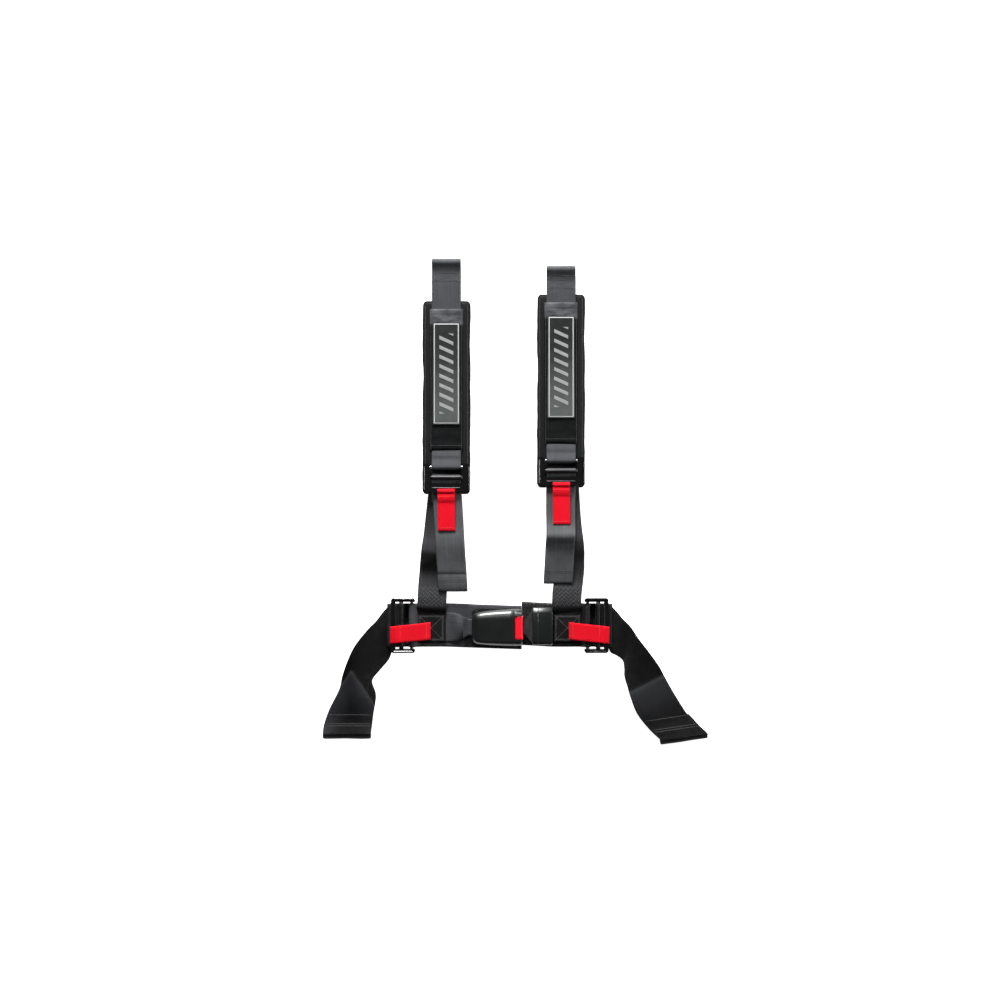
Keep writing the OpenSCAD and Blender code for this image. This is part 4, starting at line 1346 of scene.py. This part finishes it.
def sew_shoulder(s, cfg):
    """The stitching of one shoulder: patch, tab, tail, sleeve and pad."""
    x, y = s.bar.x / MM, s.bar_y
    w = s.half.length / MM - 3
    strap, low = s.side + "_shoulder_webbing", s.side + "_lower_webbing"
    eye = y + s.eye_y
    rows = [[(x - w, y + d), (x + w, y + d)] for d in (19, 22, 25)]
    rows += [[(x - w, eye - d), (x + w, eye - d)] for d in (11, 14)]
    rows += box_cross(x - w, x + w, eye - 33, eye - 17)
    seam(s.side + "_shoulder_stitching", rows, [strap], s.side + "_shoulder", "thread", "webbing", cfg)
    lap = centre(s.side + "_lap_band").y / MM
    patch = LOWER_RUN[s.side][-1][1] + x
    box = box_cross(patch - 21, patch + 21, lap - 26, lap + 16)
    upper = []
    for k in range(5):
        at = lap + 34 + 7 * k
        drift = 0.4 * (k - 2) if s.side == "left" else -0.3 * (k - 2)
        upper.append(zigzag(patch - 22 + drift, patch + 22 + drift, at, at + 5.5, 11))
    seam(s.side + "_box_stitching", box, [low], s.root, "grey_thread", "webbing", cfg,
         radius=cfg.thread * 0.9)
    seam(s.side + "_zigzag_stitching", upper, [low], s.root, "grey_thread", "webbing", cfg, cfg.stitch * 0.8,
         cfg.thread * 0.75)
    tail = TAIL_RUN[s.side][-2]
    hem = y + tail[0] + 1
    seam(s.side + "_tail_hem", [[(x + tail[1] - w, hem + d), (x + tail[1] + w, hem + d)] for d in (0, 3)],
         [s.side + "_tail_webbing"], s.side + "_grip", "thread", "webbing", cfg)
    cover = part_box(s.side + "_sleeve")
    x0, x1, y0, y1 = cover[0][0] / MM, cover[1][0] / MM, cover[0][1] / MM, cover[1][1] / MM
    rows = [[(x0 + 2.2, y0 + 1), (x0 + 2.2, y1 - 1)], [(x1 - 2.2, y0 + 1), (x1 - 2.2, y1 - 1)],
            [(x0 + 3, y0 + 8), (x1 - 3, y0 + 8)], [(x0 + 3, y1 - 8), (x1 - 3, y1 - 8)]]
    seam(s.side + "_sleeve_stitching", rows, [s.side + "_sleeve_cover"], s.side + "_pad", "thread",
         "sleeve_fabric", cfg)
    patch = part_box(s.side + "_label")
    x0, x1, y0, y1 = (patch[0][0] / MM + 1.1, patch[1][0] / MM - 1.1, patch[0][1] / MM + 1.1,
                      patch[1][1] / MM - 1.1)
    seam(s.side + "_patch_stitching", [[(x0, y0), (x1, y0), (x1, y1), (x0, y1), (x0, y0)]],
         [s.side + "_patch"], s.side + "_pad", "thread", "label", cfg, cfg.stitch * 0.8, cfg.thread * 0.8)
    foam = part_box(s.side + "_pad")
    x0, x1, y0, y1 = (foam[0][0] / MM + 5, foam[1][0] / MM - 5, foam[0][1] / MM + 5, foam[1][1] / MM - 5)
    seam(s.side + "_pad_stitching", [[(x0, y0 + 5), (x0, y1 - 5)], [(x1, y0 + 5), (x1, y1 - 5)],
                                     [(x0 + 4, y0), (x1 - 4, y0)], [(x0 + 4, y1), (x1 - 4, y1)]],
         [s.side + "_foam_pad"], s.side + "_pad", "thread", "pad_fabric", cfg)
    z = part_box(s.side + "_pull_tab")
    tx, ty = (z[0][0] + z[1][0]) / 2 / MM, z[0][1] / MM
    seam(s.side + "_tab_stitching", [[(tx - 12.5, ty + d), (tx + 12.5, ty + d)] for d in (5, 60)],
         [s.side + "_red_tab"], s.tab_body, "red_thread", "tab_webbing", cfg, cfg.stitch * 0.8)


def sew_lap(a, cfg):
    """The stitching of one lap side: the folded end and the pull tab."""
    mount = next(m for m in frame["record"]["mounts"] if m["name"] == a.side + "_lap_eye")
    eye = Vector(mount["pos_m"]) / MM
    axis = Vector(mount["axis"]).normalized()
    ahead = Vector((axis.y, -axis.x, 0))
    ahead = ahead if ahead.y < 0 else -ahead
    rows = []
    for d in (14, 17.5, 33):
        p = eye - ahead * d + Vector((d * sum(BACK_LEAN[a.side]) / 2, 0, 0))
        rows.append([tuple((p - axis * 36).xy), tuple((p + axis * 36).xy)])
    seam(a.side + "_anchor_stitching", rows, [a.side + "_anchor_webbing"], a.side + "_lap_strap",
         "grey_thread", "webbing", cfg)
    low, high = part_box(a.side + "_lap_pull_tab")
    inner = (high[0] if a.side == "left" else low[0]) / MM
    step = -1 if a.side == "left" else 1
    mid = (low[1] + high[1]) / 2 / MM
    seam(a.side + "_lap_tab_stitching", [[(inner + step * d, mid - 9),
                                          (inner + step * d, mid + 15)] for d in (6, 52)],
         [a.side + "_lap_red_tab"], a.tab_body, "red_thread", "tab_webbing", cfg, cfg.stitch * 0.8)


# ---------------------------------------------------------------- operators
class Builder(bpy.types.Operator):
    """Shared by the operators below."""
    bl_options = {"REGISTER", "UNDO"}

    def execute(self, context):
        self.make(context.scene.harness)
        return {"FINISHED"}


class HARNESS_OT_stage(Builder):
    """Camera straight above the harness, a pale floor and soft studio light from the shoulder end"""
    bl_idname = "harness.stage"
    bl_label = "Stage"

    def make(self, cfg):
        scene = bpy.context.scene
        lens = bpy.data.cameras.new("camera")
        camera = bpy.data.objects.new("camera", lens)
        scene.collection.objects.link(camera)
        lens.sensor_width = 36.0
        lens.lens = 36.0 * cfg.camera_height / cfg.field
        camera.location = (-0.027, 0.003, cfg.camera_height)
        scene.camera = camera
        floor = add_mesh("floor", [(-4, -4, -0.0006), (4, -4, -0.0006), (4, 4, -0.0006), (-4, 4, -0.0006)],
                         [(0, 1, 2, 3)])
        look = Look("pale_floor")
        grain = look.noise(3.0, 2.0)
        look.finish(look.mix(grain, (0.86, 0.86, 0.86), (0.9, 0.9, 0.9)), 0.85,
                    Emission_Color=(1.0, 1.0, 1.0, 1.0), Emission_Strength=1.0)
        floor.data.materials.append(look.mat)
        world = bpy.data.worlds.new("studio")
        scene.world = world
        world.use_nodes = True
        world.node_tree.nodes["Background"].inputs[0].default_value = (1, 1, 1, 1)
        world.node_tree.nodes["Background"].inputs[1].default_value = 0.08
        for name, place, target, power, wide in (
                ("key", (-0.35, 2.6, 1.05), (0, -0.05, 0), 270, 0.8),
                ("side", (2.0, 0.3, 0.95), (0, -0.1, 0), 30, 0.5),
                ("top", (-0.5, 1.5, 2.6), (0, -0.1, 0), 22, 0.9)):
            lamp = bpy.data.lights.new(name, "AREA")
            lamp.energy, lamp.size = power, wide
            obj = bpy.data.objects.new(name, lamp)
            obj.location = place
            obj.rotation_euler = (Vector(target) - Vector(place)).to_track_quat("-Z", "Y").to_euler()
            scene.collection.objects.link(obj)
        scene.view_settings.view_transform = "Standard"


class HARNESS_OT_pads(Builder):
    """Foam pads puffed between their seams, their sleeves and woven patches"""
    bl_idname = "harness.pads"
    bl_label = "Pads"

    def make(self, cfg):
        for side in SIDES:
            pad(side)
            sleeve(side)
            label(side)


class HARNESS_OT_shoulders(Builder):
    """Upper straps, lower straps and loose tails of both shoulders"""
    bl_idname = "harness.shoulders"
    bl_label = "Shoulder straps"

    def make(self, cfg):
        for side in SIDES:
            s = Shoulder(side, cfg)
            upper_strap(s, cfg)
            lower_strap(s, cfg)
            tail_strap(s, cfg)


class HARNESS_OT_lap(Builder):
    """Lap band, buckle links and the free straps to the anchors"""
    bl_idname = "harness.lap"
    bl_label = "Lap straps"

    def make(self, cfg):
        for side in SIDES:
            a = Adjuster(side, "lap")
            lap_band(a, cfg)
            lap_tail(a, cfg)
            lap_strap(a, cfg)
        left_link(cfg)
        right_link(cfg)


class HARNESS_OT_tabs(Builder):
    """Red pull tabs on all four adjusters"""
    bl_idname = "harness.tabs"
    bl_label = "Pull tabs"

    def make(self, cfg):
        for side in SIDES:
            shoulder_tab(Shoulder(side, cfg), cfg)
            lap_tab(Adjuster(side, "lap"), cfg)


class HARNESS_OT_hardware(Builder):
    """Adjuster frames and bars, buckle and tongue"""
    bl_idname = "harness.hardware"
    bl_label = "Hardware"

    def make(self, cfg):
        for side in SIDES:
            for place in ("shoulder", "lap"):
                a = Adjuster(side, place)
                slide_bar(a)
                bridge(a)
                repaint(a.bar_node, "steel", 0.3)
                repaint(a.frame_node, "coated", 0.95)
        for node, look, edge in (
                ("buckle_lower_shell", "shell", 0.8), ("tongue_plate", "plate", 0.35),
                ("buckle_frame", "steel", 0.3), ("strap_bar", "steel", 0.3), ("latch_pawl", "steel", 0.3),
                ("pawl_pin", "steel", 0.2), ("button_springs", "steel", 0.0),
                                 ("shell_screws", "steel", 0.3)):
            repaint(node, look, edge)
        buckle_shell()
        press_button()
        tongue_head()


class HARNESS_OT_stitching(Builder):
    """Every sewn seam, as rows of thread"""
    bl_idname = "harness.stitching"
    bl_label = "Stitching"

    def make(self, cfg):
        for side in SIDES:
            sew_shoulder(Shoulder(side, cfg), cfg)
            sew_lap(Adjuster(side, "lap"), cfg)


class HARNESS_PT_panel(bpy.types.Panel):
    """Sizes and steps of the harness"""
    bl_idname = "HARNESS_PT_panel"
    bl_label = "Racing Harness"
    bl_space_type = "VIEW_3D"
    bl_region_type = "UI"
    bl_category = "Harness"

    def draw(self, context):
        for name in HarnessSettings.__annotations__:
            self.layout.prop(context.scene.harness, name)
        for step in STEPS:
            self.layout.operator(step.bl_idname)


STEPS = (HARNESS_OT_stage, HARNESS_OT_pads, HARNESS_OT_shoulders, HARNESS_OT_lap, HARNESS_OT_tabs,
         HARNESS_OT_hardware, HARNESS_OT_stitching)


def register():
    """Adds the settings, the steps and the panel."""
    for item in (HarnessSettings, *STEPS, HARNESS_PT_panel):
        bpy.utils.register_class(item)
    bpy.types.Scene.harness = bpy.props.PointerProperty(type=HarnessSettings)


def unregister():
    """Takes them away again."""
    del bpy.types.Scene.harness
    for item in (HARNESS_PT_panel, *reversed(STEPS), HarnessSettings):
        bpy.utils.unregister_class(item)


def main():
    """Runs every step in order."""
    register()
    LOOKS.update(make_looks(bpy.context.scene.harness))
    for step in STEPS:
        family, name = step.bl_idname.split(".")
        getattr(getattr(bpy.ops, family), name)()


if __name__ == "__main__":
    main()
